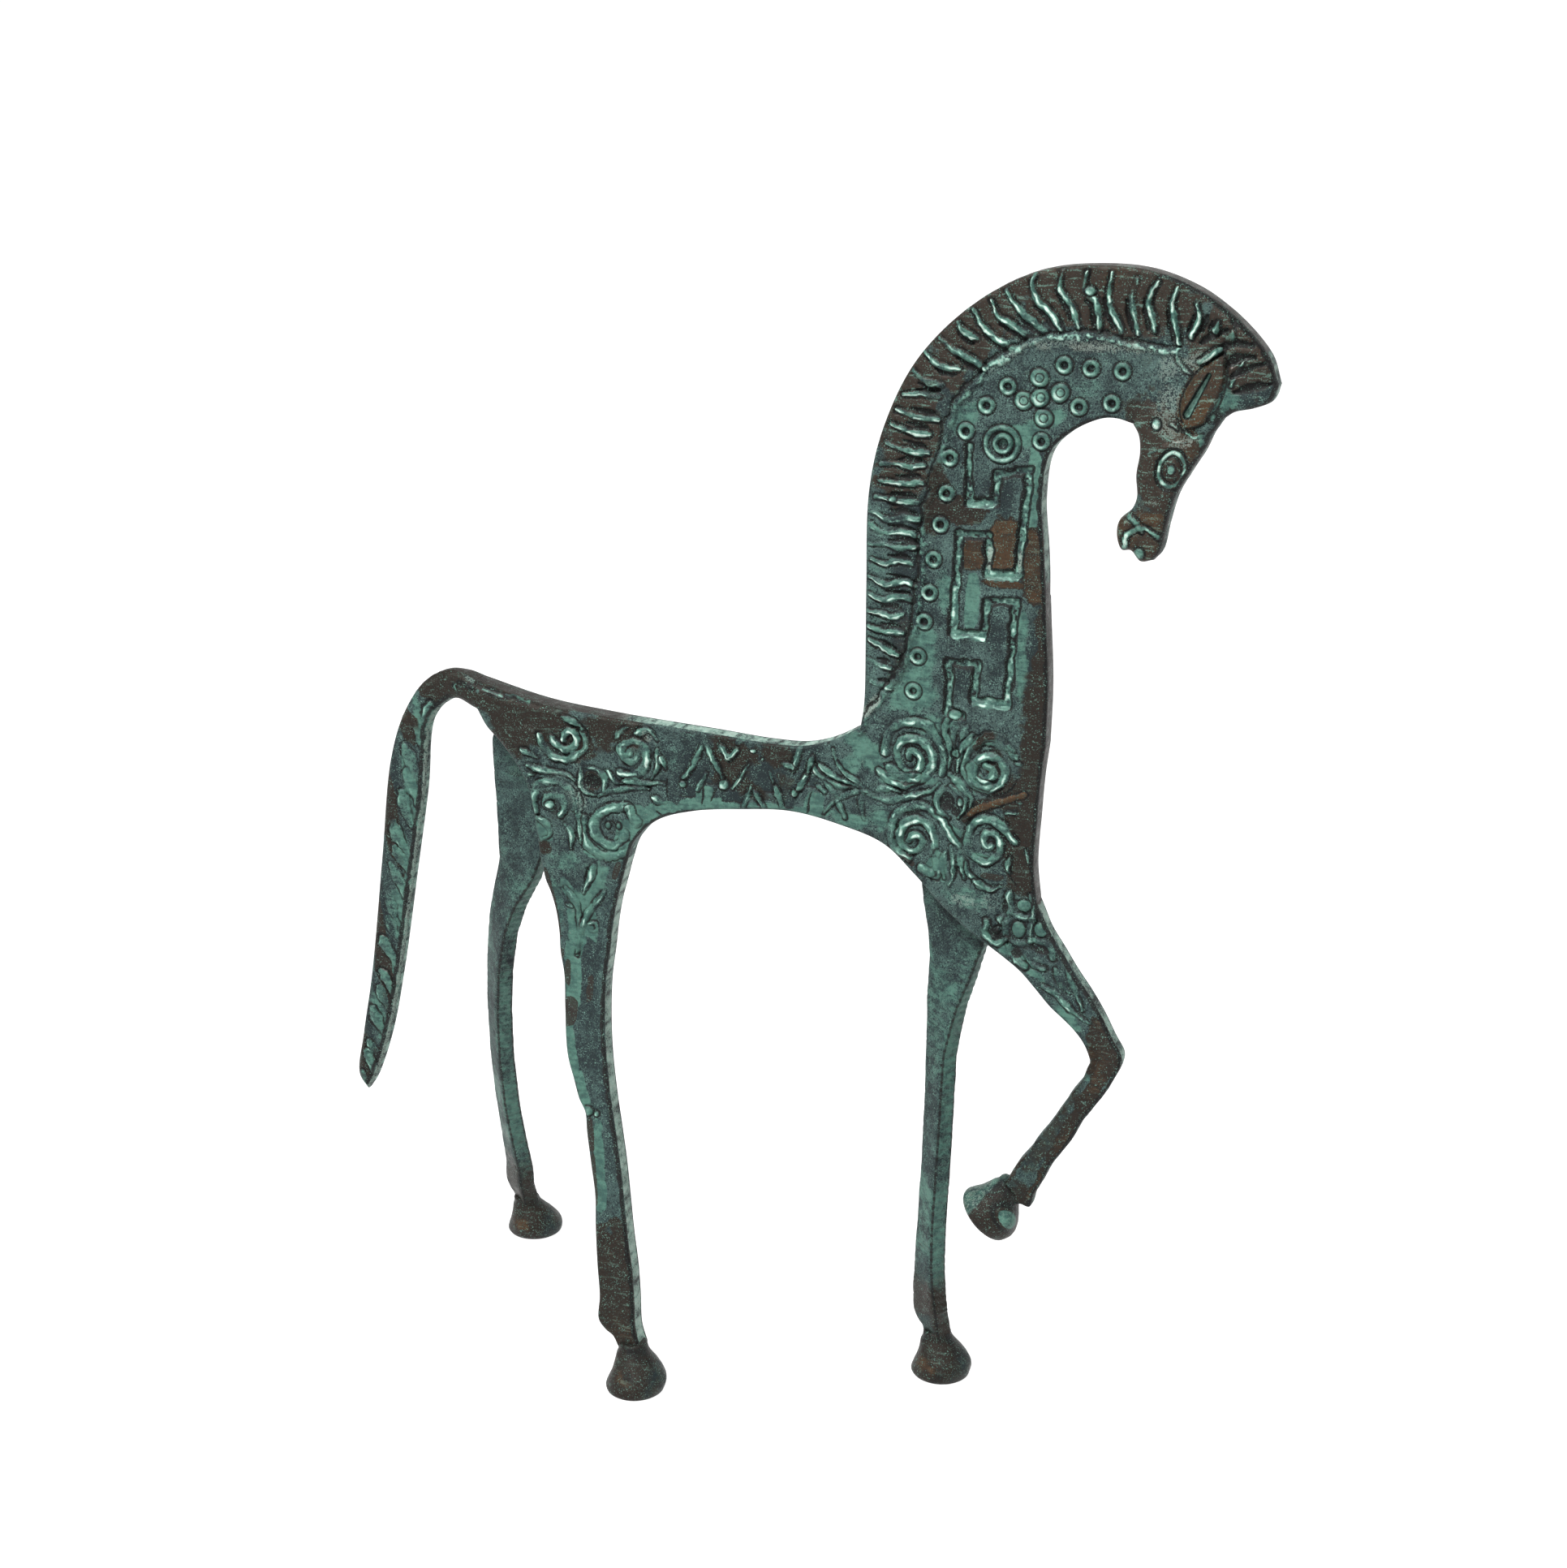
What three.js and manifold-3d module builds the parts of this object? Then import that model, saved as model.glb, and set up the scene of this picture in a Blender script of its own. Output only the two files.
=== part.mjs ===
// A small flat-cast bronze horse in an archaic manner, built from its foundry sections.
// Millimetres. +X is towards the head, +Z is up and -Y is the near side, with one fore leg raised.
// The plates lie in the XZ plane on both sides of y = 0, and the soles of three hooves stand on z = 0.

import * as THREE from "three";
import { mergeVertices } from "three/addons/utils/BufferGeometryUtils.js";
import Module from "manifold-3d";

const wasm = await Module();
wasm.setup();

// Whole figure
const LENGTH = 235;
const HEIGHT = 280;

// Plates
const BARREL_THICKNESS = 6;
const RUMP_SWELL = 3.6;
const RUMP_SWELL_REACH = 24;
const NECK_THICKNESS = 6.6;
const MANE_THICKNESS = 8;
const HEAD_THICKNESS = 9;
const TAIL_THICKNESS = 4.2;
const TAIL_ROOT_SWELL = 3;
const TAIL_ROOT_REACH = 24;
const ARRIS = 0.7;
const OUTLINE_STEP = 3.6;

// Legs and hooves
const FAR_LEG_THICKNESS = 5;
const NEAR_HIND_THICKNESS = 5.8;
const NEAR_FORE_THICKNESS = 5;
const HOCK_WIDTH = 10;
const HIND_STANCE = 33.5;
const FORE_STANCE = 0.3;
const RAISED_FORE_REACH = 10;
const HOOF_RADIUS = 7.6;
const HOOF_HEIGHT = 11.5;
const HOOF_RIM = 2.2;
const HOOF_LEAN = 1.5;
const HIND_HOOF_SLOPE = 2.5;
const FORE_HOOF_SLOPE = 0.7;
const HOOF_EDGE = 0.7;
const HOOF_SIDES = 24;
const PASTERN_WIDTH = 6.4;
const PASTERN_LENGTH = 1.3;
const PASTERN_COLLAR = 0.3;
const SPUR_WIDTH = 10;
const SPUR_RISE = 4.6;
const NEAR_HIND_SPUR = { overhang: 3.8, yaw: 0 };
const FAR_HIND_SPUR = { overhang: 0.6, yaw: -38 };
const FAR_FORE_SPUR = { overhang: 1.2, yaw: -37 };
const RAISED_HOOF_TILT = 43;

// Joints between the sections
const BRAZE_GAP = 0.3;
const TONGUE_THICKNESS = 2.6;
const NECK_TONGUE = { width: 28, depth: 8 };
const HEAD_TONGUE = { width: 9, depth: 6 };
const TAIL_TONGUE = { width: 3.4, depth: 6 };
const NEAR_HIND_TONGUE = { width: 10, depth: 7 };
const NEAR_FORE_TONGUE = { width: 9, depth: 6 };
const TONGUE_ROOT = 1.5;
const CREST_RIB_HEIGHT = 2.6;
const CREST_RIB_ROOT = 1.2;
const PEG_RADIUS = 1.5;
const PEG_DEPTH = 2;
const HOOF_PIN_RADIUS = 1.6;
const HOOF_PIN_DEPTH = 5;
const PIN_SIDES = 16;
const SEAM_MARGIN = 8;
const SEAM_OVERCUT = 2;
const GROOVE_OVERCUT = 1;

// Relief on the head
const EAR_RELIEF = 1.1;
const EYE_RING_RADIUS = 3.4;
const EYE_RING_SECTION = 0.9;
const EYE_BALL_RADIUS = 2;

// The drawing's grid: this many squares over the whole length and height.
const GRID_COLUMNS = 235;
const GRID_ROWS = 280;

// A place on the drawing's grid, as [x, z] in millimetres.
function at(column, row) {
  return [(column * LENGTH) / GRID_COLUMNS, (row * HEIGHT) / GRID_ROWS];
}

// Several places on the drawing's grid.
function drawn(...places) {
  return places.map(([column, row]) => at(column, row));
}

// Where neighbouring sections meet
const WITHERS = at(23.4, 170.5);
const CHEST = at(68.4, 170.5);
const THROAT = at(85.5, 246.3);
const POLL = at(94, 263.4);
const EAR_TIP = at(105.5, 263.8);
const FOREHEAD = at(105.2, 248.5);
const TAIL_TOP = at(-78, 172.4);
const TAIL_UNDER = at(-77.5, 165.2);
const CROTCH = at(-60.3, 121.5);
const STIFLE = at(-39.5, 123);
const ELBOW = at(50.5, 123);
const SHOULDER_POINT = at(67.5, 131.5);
const TAIL_TIP = at(-116, 54);
const MANE_FRONT = at(116.5, 256);

// Smooth runs of the outlines, from one meeting point to the next
const BACK = [
  TAIL_TOP, ...drawn([-60, 168.2], [-42.5, 166.5], [-16, 165], [1, 164], [9.5, 164.4], [16, 166.4]), WITHERS,
];
const BREAST = [CHEST, ...drawn([67.5, 162], [67, 153], [66.5, 140.5]), SHOULDER_POINT];
const BELLY = [
  ELBOW, ...drawn([44.5, 128], [37.3, 135.3], [29.5, 142], [18.5, 145.5], [6, 147.5], [-7, 146.5],
  [-20, 144.5], [-29.5, 141], [-35.5, 135], [-37.8, 129]), STIFLE,
];
const BUTTOCK = [
  CROTCH, ...drawn([-61.5, 127.5], [-62.4, 136], [-64.3, 147], [-67.5, 152.5], [-71, 157], [-75, 161]),
  TAIL_UNDER,
];
const CREST = [
  WITHERS, ...drawn([25, 174.5], [29, 180], [33, 186.5], [35, 193], [37, 207], [38, 221.5], [41.5, 237.5],
  [44.5, 247.5], [52.5, 257.5], [63, 264], [77.5, 265.5], [86, 263.8]), POLL,
];
const THROAT_LINE = [
  THROAT, ...drawn([82, 247.2], [78.5, 247], [71.5, 243.5], [67, 238.5], [65.5, 228], [66.5, 216],
  [67.5, 200.5], [68.5, 185]), CHEST,
];
const EAR_BACK = [POLL, ...drawn([98, 263.6], [102, 263]), EAR_TIP];
const EAR_FRONT = [EAR_TIP, ...drawn([104.8, 257]), FOREHEAD];
const FACE = [
  FOREHEAD, ...drawn([103, 245], [101.3, 241], [99, 237], [95.8, 231], [94, 224], [92.8, 218], [91.3, 216.2]),
];
const MUZZLE = [
  ...drawn([91.3, 216.2], [88.5, 215.7], [86.2, 218], [84.2, 218], [83, 220.5], [83.2, 224.3], [86, 227.3],
  [87, 230], [86.6, 235], [87.2, 240], [86.8, 243.8]), THROAT,
];
const MANE_OUTER = [
  WITHERS, ...drawn([24.3, 177], [24.5, 193], [24.5, 205], [25, 228], [28.5, 243], [36, 258], [48.5, 270.5],
  [62.5, 278], [75.5, 280], [89.5, 279], [103, 273], [114, 262.5]), MANE_FRONT,
];
const MANE_FOOT = [MANE_FRONT, ...drawn([115.3, 252.8], [111.5, 251], [107.5, 250]), FOREHEAD];
// Straight runs under the head and neck that close the mane's outline before the head and neck are cut from it
const [NAPE_FRONT, NAPE, NAPE_BACK, NAPE_FOOT] = drawn([97, 252], [70, 252], [50, 235], [45, 200]);
const MANE_CLOSING = [
  [FOREHEAD, NAPE_FRONT], [NAPE_FRONT, NAPE], [NAPE, NAPE_BACK], [NAPE_BACK, NAPE_FOOT], [NAPE_FOOT, WITHERS],
];
const TAIL_OUTER = [
  TAIL_TOP, ...drawn([-82, 173.8], [-86.5, 174], [-93.5, 170], [-99.5, 161.5], [-104, 148.5], [-108, 121.5],
  [-113, 88], [-116.5, 70.5], [-118.5, 58]), TAIL_TIP,
];
const TAIL_INNER = [
  TAIL_TIP, ...drawn([-113.5, 58], [-108.5, 71.5], [-104, 90.5], [-98.5, 119.5], [-94.5, 141], [-91.5, 160.5],
  [-86.5, 166], [-83, 167]), TAIL_UNDER,
];
const EAR = drawn(
  [97.2, 247.3], [97, 252], [99.6, 258.5], [104.8, 261.8], [104, 256], [101, 250.5], [97.2, 247.3],
);
const EYE = at(95.1, 237.6);
const RUMP = at(-72, 168);

// The hooves: where each sole's middle is, and how far the hoof slopes sideways on the way up to its pastern
const NEAR_HIND_HOOF = { sole: at(-24.6, 0), y: -HIND_STANCE, tilt: 0, slope: HIND_HOOF_SLOPE };
const FAR_HIND_HOOF = { sole: at(-84.4, 0), y: HIND_STANCE, tilt: 0, slope: -HIND_HOOF_SLOPE };
const FAR_FORE_HOOF = { sole: at(45.9, 0), y: FORE_STANCE, tilt: 0, slope: FORE_HOOF_SLOPE };
const NEAR_FORE_HOOF = { sole: at(59, 51.8), y: -RAISED_FORE_REACH, tilt: RAISED_HOOF_TILT, slope: 0 };

// The hoof's bell over its rim, as shares of its radius and height, and the height share where its collar starts
const HOOF_BELL = [[0.88, 0.42], [0.66, 0.68]];
const COLLAR_SHARE = 0.9;

// Colours of the patina
const VERDIGRIS = { color: 0x4f8a74, roughness: 0.7, metalness: 0.35 };
const DARK_GREEN = { color: 0x3d5e57, roughness: 0.65, metalness: 0.4 };
const BROWN_BRONZE = { color: 0x4c4034, roughness: 0.55, metalness: 0.6 };

// A closed solid from any three.js geometry.
function solid(geometry) {
  const bare = new THREE.BufferGeometry();
  bare.setAttribute("position", geometry.getAttribute("position"));
  bare.setIndex(geometry.index);
  const merged = mergeVertices(bare, 1e-4);
  return new wasm.Manifold(
    new wasm.Mesh({
      numProp: 3,
      vertProperties: new Float32Array(merged.getAttribute("position").array),
      triVerts: new Uint32Array(merged.index.array),
    }),
  );
}

// The named mesh of a finished solid.
function meshOf(name, shape, finish) {
  const faces = shape.getMesh();
  const geometry = new THREE.BufferGeometry();
  geometry.setAttribute("position", new THREE.BufferAttribute(faces.vertProperties, 3));
  geometry.setIndex(new THREE.BufferAttribute(faces.triVerts, 1));
  const flat = geometry.toNonIndexed();
  flat.computeVertexNormals();
  const mesh = new THREE.Mesh(flat, new THREE.MeshStandardMaterial(finish));
  mesh.name = name;
  return mesh;
}

// Evenly spaced points of one smooth run, as Vector2(x, z).
function runPoints(run) {
  const stops = run.map(([x, z]) => new THREE.Vector3(x, 0, z));
  const curve = new THREE.CatmullRomCurve3(stops, false, "centripetal");
  const count = run.length === 2 ? 1 : Math.max(run.length, Math.round(curve.getLength() / OUTLINE_STEP));
  return curve.getSpacedPoints(count).map((p) => new THREE.Vector2(p.x, p.z));
}

// A closed outline of runs that meet at corners.
function outline(...runs) {
  return runs.flatMap((run) => runPoints(run).slice(0, -1));
}

// A plate of one outline, centred on y = 0, with broken arrises and a thickness that may swell from place to place.
function plate(points, thickness, swell = () => 0, arris = ARRIS) {
  const geometry = new THREE.ExtrudeGeometry(new THREE.Shape(points), {
    depth: thickness - 2 * arris,
    bevelEnabled: arris > 0,
    bevelThickness: arris,
    bevelSize: arris,
    bevelOffset: -arris,
    bevelSegments: 2,
    steps: 1,
  });
  geometry.rotateX(Math.PI / 2);
  geometry.translate(0, thickness / 2 - arris, 0);
  const position = geometry.getAttribute("position");
  for (let i = 0; i < position.count; i++) {
    const growth = 1 + swell(position.getX(i), position.getZ(i)) / thickness;
    position.setY(i, position.getY(i) * growth);
  }
  return solid(geometry);
}

// A swelling that fades away from one point.
function swellAround([x0, z0], amount, reach) {
  return (x, z) => amount * Math.exp(-(((x - x0) ** 2 + (z - z0) ** 2) / reach ** 2));
}

// The strip between two offsets of a run, on the left of its direction where the offset is positive.
function band(run, from, to, thickness) {
  const points = runPoints(run);
  const side = points.map((point, i) => {
    const next = points[Math.min(i + 1, points.length - 1)];
    const last = points[Math.max(i - 1, 0)];
    const along = new THREE.Vector2().subVectors(next, last).normalize();
    return new THREE.Vector2(-along.y, along.x);
  });
  const shifted = (distance) => points.map((point, i) => point.clone().addScaledVector(side[i], distance));
  return plate([...shifted(from), ...shifted(to).reverse()], thickness, () => 0, 0);
}

// A block that lies along a seam from a to b and reaches across it to the left.
function seamBlock([ax, az], [bx, bz], width, thickness, back, reach) {
  const length = Math.hypot(bx - ax, bz - az);
  const along = new THREE.Vector3((bx - ax) / length, 0, (bz - az) / length);
  const across = new THREE.Vector3(-along.z, 0, along.x);
  const geometry = new THREE.BoxGeometry(width, thickness, back + reach);
  const turn = new THREE.Matrix4().makeBasis(along, new THREE.Vector3().crossVectors(across, along), across);
  const middle = new THREE.Vector3((ax + bx) / 2, 0, (az + bz) / 2).addScaledVector(across, (reach - back) / 2);
  return solid(geometry.applyMatrix4(turn.setPosition(middle)));
}

// One section gets a tongue across the seam, the other the slot for it, and a braze gap is left all round.
function tongueJoint(section, receiver, a, b, { width, depth }) {
  const seamLength = Math.hypot(b[0] - a[0], b[1] - a[1]);
  const beyond = seamBlock(a, b, seamLength + 2 * SEAM_MARGIN, 4 * SEAM_MARGIN, BRAZE_GAP, 3 * SEAM_MARGIN);
  const tongue = seamBlock(a, b, width, TONGUE_THICKNESS, TONGUE_ROOT, depth);
  const slot = seamBlock(
    a, b, width + 2 * BRAZE_GAP, TONGUE_THICKNESS + 2 * BRAZE_GAP, TONGUE_ROOT, depth + BRAZE_GAP,
  );
  return [section.subtract(beyond).add(tongue), receiver.subtract(slot)];
}

// The eight corners of a leg's section, a rectangle with broken arrises, across and through the leg.
function sectionCorners(width, thickness) {
  const [w, t, c] = [width / 2, thickness / 2, ARRIS];
  return [
    [w, t - c], [w - c, t], [c - w, t], [-w, t - c], [-w, c - t], [c - w, -t], [w - c, -t], [w, c - t],
  ];
}

// A leg through its stations, each { x, y, z, width, thickness, yaw }, with a ring halfway between each two.
// Yaw turns the leg's broad face about the vertical, and grow makes the clearance solid of the same leg.
function loft(stations, grow = 0) {
  const curve = new THREE.CatmullRomCurve3(
    stations.map(({ x, y, z }) => new THREE.Vector3(x, y, z)), false, "centripetal",
  );
  const ringCount = 2 * (stations.length - 1) + 1;
  const vertices = [];
  const faces = [];
  for (let ring = 0; ring < ringCount; ring++) {
    const before = stations[Math.floor(ring / 2)];
    const after = stations[Math.ceil(ring / 2)];
    const between = (key) => (before[key] + after[key]) / 2;
    const share = ring / (ringCount - 1);
    const middle = curve.getPoint(share);
    const along = curve.getTangent(share);
    const yaw = THREE.MathUtils.degToRad(between("yaw"));
    const faceWay = new THREE.Vector3(Math.sin(yaw), -Math.cos(yaw), 0);
    faceWay.addScaledVector(along, -faceWay.dot(along)).normalize();
    const edgeWay = new THREE.Vector3().crossVectors(along, faceWay);
    for (const [across, through] of sectionCorners(between("width") + 2 * grow, between("thickness") + 2 * grow)) {
      const corner = middle.clone().addScaledVector(edgeWay, across).addScaledVector(faceWay, through);
      vertices.push(corner.x, corner.y, corner.z);
    }
  }
  const sides = 8;
  for (let ring = 0; ring < ringCount - 1; ring++) {
    for (let i = 0; i < sides; i++) {
      const [a, b] = [ring * sides + i, ring * sides + ((i + 1) % sides)];
      faces.push(a, b + sides, b, a, a + sides, b + sides);
    }
  }
  const last = (ringCount - 1) * sides;
  for (let i = 1; i < sides - 1; i++) faces.push(0, i, i + 1, last, last + i + 1, last + i);
  const geometry = new THREE.BufferGeometry();
  geometry.setAttribute("position", new THREE.Float32BufferAttribute(vertices, 3));
  geometry.setIndex(faces);
  return solid(geometry);
}

// The frame of a hoof: its sole's middle, and its axis up to the pastern.
function hoofFrame({ sole, y, tilt }) {
  const turn = new THREE.Matrix4().makeRotationY(THREE.MathUtils.degToRad(tilt));
  return turn.setPosition(sole[0], y, sole[1]);
}

// The point a height above the sole, on the line that leans back and slopes in to the pastern.
function hoofPoint(hoof, height) {
  const share = height / HOOF_HEIGHT;
  return new THREE.Vector3(-HOOF_LEAN * share, hoof.slope * share, height).applyMatrix4(hoofFrame(hoof));
}

// A bell-shaped hoof with a flat sole, and the socket for its leg's pin.
function hoofSolid(hoof) {
  const collar = PASTERN_WIDTH / 2 + PASTERN_COLLAR;
  const profile = [
    [0, 0], [HOOF_RADIUS - HOOF_EDGE, 0], [HOOF_RADIUS, HOOF_EDGE], [HOOF_RADIUS, HOOF_RIM],
    ...HOOF_BELL.map(([radiusShare, heightShare]) => [radiusShare * HOOF_RADIUS, heightShare * HOOF_HEIGHT]),
    [collar, COLLAR_SHARE * HOOF_HEIGHT], [collar, HOOF_HEIGHT], [0, HOOF_HEIGHT],
  ];
  const geometry = new THREE.LatheGeometry(profile.map(([r, h]) => new THREE.Vector2(r, h)), HOOF_SIDES);
  geometry.rotateX(Math.PI / 2);
  const position = geometry.getAttribute("position");
  for (let i = 0; i < position.count; i++) {
    const share = position.getZ(i) / HOOF_HEIGHT;
    position.setX(i, position.getX(i) - HOOF_LEAN * share);
    position.setY(i, position.getY(i) + hoof.slope * share);
  }
  geometry.applyMatrix4(hoofFrame(hoof));
  return solid(geometry).subtract(hoofPin(hoof, BRAZE_GAP));
}

// The pin between leg and hoof, or with grow its socket.
function hoofPin(hoof, grow = 0) {
  const foot = HOOF_HEIGHT - HOOF_PIN_DEPTH - grow;
  const top = HOOF_HEIGHT + BRAZE_GAP + PASTERN_LENGTH / 2;
  const geometry = new THREE.CylinderGeometry(HOOF_PIN_RADIUS + grow, HOOF_PIN_RADIUS + grow, top - foot, PIN_SIDES);
  geometry.rotateX(Math.PI / 2);
  geometry.translate(-HOOF_LEAN, hoof.slope, (top + foot) / 2);
  return solid(geometry.applyMatrix4(hoofFrame(hoof)));
}

// The room that a hoof takes up under its leg, with the braze gap on top.
function hoofRoom(hoof) {
  const height = HOOF_HEIGHT + BRAZE_GAP;
  const geometry = new THREE.CylinderGeometry(HOOF_RADIUS + HOOF_LEAN, HOOF_RADIUS + HOOF_LEAN, height, HOOF_SIDES);
  geometry.rotateX(Math.PI / 2);
  geometry.translate(-HOOF_LEAN, hoof.slope, height / 2);
  return solid(geometry.applyMatrix4(hoofFrame(hoof)));
}

// A leg trimmed square on its hoof, with the pin that goes into the hoof's socket.
function footed(leg, hoof) {
  return leg.subtract(hoofRoom(hoof)).add(hoofPin(hoof));
}

// The last stations of a standing leg: the heel spur, the slanted cut under it and the pastern on the hoof.
function footStations(hoof, { overhang, yaw }, thickness) {
  const spur = hoofPoint(hoof, HOOF_HEIGHT + SPUR_RISE);
  const neckTop = hoofPoint(hoof, HOOF_HEIGHT + BRAZE_GAP + PASTERN_LENGTH);
  const neckFoot = hoofPoint(hoof, HOOF_HEIGHT - PASTERN_LENGTH);
  return [
    { x: spur.x - overhang, y: spur.y, z: spur.z, width: SPUR_WIDTH, thickness, yaw },
    { x: neckTop.x, y: neckTop.y, z: neckTop.z, width: PASTERN_WIDTH, thickness, yaw },
    { x: neckFoot.x, y: neckFoot.y, z: neckFoot.z, width: PASTERN_WIDTH, thickness, yaw },
  ];
}

// Stations from rows of: grid column, grid row, width in hocks, yaw in degrees, and share of the way from the hip's y
// to the hoof's y.
function legStations(rows, hipY, hoofY, thickness) {
  return rows.map(([column, row, widths, yaw, share]) => {
    const [x, z] = at(column, row);
    return { x, y: hipY + share * (hoofY - hipY), z, width: widths * HOCK_WIDTH, thickness, yaw };
  });
}

// The pegs that hold a lapped leaf on the body's far face, or with grow their holes.
function pegs(places, grow = 0) {
  const inner = BARREL_THICKNESS / 2 - PEG_DEPTH - grow;
  const outer = BARREL_THICKNESS / 2 + BRAZE_GAP + FAR_LEG_THICKNESS / 2;
  const made = places.map(([x, z]) => {
    const geometry = new THREE.CylinderGeometry(PEG_RADIUS + grow, PEG_RADIUS + grow, outer - inner, PIN_SIDES);
    return solid(geometry.translate(x, (outer + inner) / 2, z));
  });
  return made.reduce((all, peg) => all.add(peg));
}

const LEAF_Y = BARREL_THICKNESS / 2 + BRAZE_GAP + FAR_LEG_THICKNESS / 2;
const FAR_HIND_PEGS = drawn([-68, 153], [-69, 142]);
const FAR_FORE_PEGS = drawn([46, 139.5], [46.5, 132]);

const FAR_HIND_STATIONS = [
  ...legStations([
    [-67.5, 161, 2, 0, 0], [-68, 150, 1.9, 0, 0], [-68.8, 139, 1.65, 0, 0], [-69.9, 129, 1.4, -2, 0],
    [-71.6, 121, 1.25, -16, 0.03], [-75.3, 113, 1.1, -32, 0.08], [-79, 103, 1, -40, 0.15],
    [-82.2, 90, 0.94, -45, 0.27], [-84.7, 76, 0.9, -46, 0.4], [-86.5, 60, 0.9, -47, 0.54],
    [-87.2, 44, 0.9, -46, 0.67], [-87.1, 30, 0.92, -43, 0.79], [-86.9, 22, 0.96, -40, 0.86],
  ], LEAF_Y, HIND_STANCE, FAR_LEG_THICKNESS),
  ...footStations(FAR_HIND_HOOF, FAR_HIND_SPUR, FAR_LEG_THICKNESS),
];
const FAR_FORE_STATIONS = [
  ...legStations([
    [46, 143, 1.7, 0, 0], [46, 136, 1.85, 0, 0], [46.3, 127, 1.75, 0, 0], [46.4, 118, 1.5, -6, 0],
    [45.5, 110, 1.25, -14, 0], [43.9, 101, 1.05, -26, 0.02], [42.8, 87, 0.8, -40, 0.1],
    [42.7, 72, 0.78, -43, 0.22], [42.4, 56, 0.78, -45, 0.36], [41.9, 41, 0.78, -45, 0.49],
    [41.7, 29, 0.86, -43, 0.6], [41.9, 22, 0.94, -39, 0.68],
  ], LEAF_Y, FORE_STANCE, FAR_LEG_THICKNESS),
  ...footStations(FAR_FORE_HOOF, FAR_FORE_SPUR, FAR_LEG_THICKNESS),
];
const NEAR_HIND_STATIONS = [
  ...legStations([
    [-49.7, 128, 2.4, 0, 0], [-50.1, 121.5, 2.06, 0, 0], [-49.8, 115.5, 1.68, 0, 0.01],
    [-49.3, 107, 1.42, 0, 0.05], [-48.8, 97.5, 1.16, 0, 0.11], [-47.2, 84, 1.08, 0, 0.22],
    [-43, 69, 0.9, 0, 0.36], [-38, 53, 0.8, 0, 0.51], [-34.4, 37, 0.86, 0, 0.67], [-31.6, 23, 0.94, 0, 0.8],
  ], 0, -HIND_STANCE, NEAR_HIND_THICKNESS),
  ...footStations(NEAR_HIND_HOOF, NEAR_HIND_SPUR, NEAR_HIND_THICKNESS),
];
const RAISED_PASTERN = hoofPoint(NEAR_FORE_HOOF, HOOF_HEIGHT - PASTERN_LENGTH);
const NEAR_FORE_STATIONS = [
  ...legStations([
    [54.5, 132, 2.1, 0, 0], [59.2, 127, 1.84, 0, 0], [64.6, 121.8, 1.4, 0, 0.16],
    [69.2, 117.8, 1.19, 0, 0.29], [73, 113.8, 1.1, 0, 0.41], [77.3, 109.5, 1.01, 0, 0.54],
    [81.3, 105.5, 0.89, 0, 0.65], [84.9, 101.4, 0.78, 0, 0.77], [86.9, 97, 0.75, 0, 0.86],
    [84.6, 90.4, 0.64, 0, 0.97], [80.2, 82.5, 0.63, 0, 1], [75.4, 74.6, 0.62, 0, 1], [71.6, 68, 0.66, 0, 1],
    [69.4, 63.6, 0.72, 0, 1],
  ], 0, -RAISED_FORE_REACH, NEAR_FORE_THICKNESS),
  {
    x: RAISED_PASTERN.x, y: RAISED_PASTERN.y, z: RAISED_PASTERN.z,
    width: PASTERN_WIDTH, thickness: NEAR_FORE_THICKNESS, yaw: 0,
  },
];

// Plates before they are joined
let barrel = plate(
  outline(
    BACK, [WITHERS, CHEST], BREAST, [SHOULDER_POINT, ELBOW], BELLY, [STIFLE, CROTCH], BUTTOCK, [TAIL_UNDER, TAIL_TOP],
  ),
  BARREL_THICKNESS,
  swellAround(RUMP, RUMP_SWELL, RUMP_SWELL_REACH),
);
let neck = plate(outline(CREST, [POLL, THROAT], THROAT_LINE, [CHEST, WITHERS]), NECK_THICKNESS);
let head = plate(outline(EAR_BACK, EAR_FRONT, FACE, MUZZLE, [THROAT, POLL]), HEAD_THICKNESS);
let tail = plate(
  outline(TAIL_OUTER, TAIL_INNER, [TAIL_UNDER, TAIL_TOP]),
  TAIL_THICKNESS,
  swellAround(TAIL_TOP, TAIL_ROOT_SWELL, TAIL_ROOT_REACH),
);
let mane = plate(outline(MANE_OUTER, MANE_FOOT, ...MANE_CLOSING), MANE_THICKNESS);
let nearHindLeg = loft(NEAR_HIND_STATIONS);
let nearForeLeg = loft(NEAR_FORE_STATIONS);

// Ears and eyes stand proud on both sides of the head.
const ear = plate(runPoints(EAR).slice(0, -1), HEAD_THICKNESS + 2 * EAR_RELIEF);
head = head.add(ear);
for (const side of [-1, 1]) {
  const ring = new THREE.TorusGeometry(EYE_RING_RADIUS, EYE_RING_SECTION, 8, 20);
  const ball = new THREE.SphereGeometry(EYE_BALL_RADIUS, 12, 8);
  for (const geometry of [ring, ball]) {
    geometry.rotateX(Math.PI / 2);
    geometry.translate(EYE[0], (side * HEAD_THICKNESS) / 2, EYE[1]);
    head = head.add(solid(geometry));
  }
}

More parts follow.
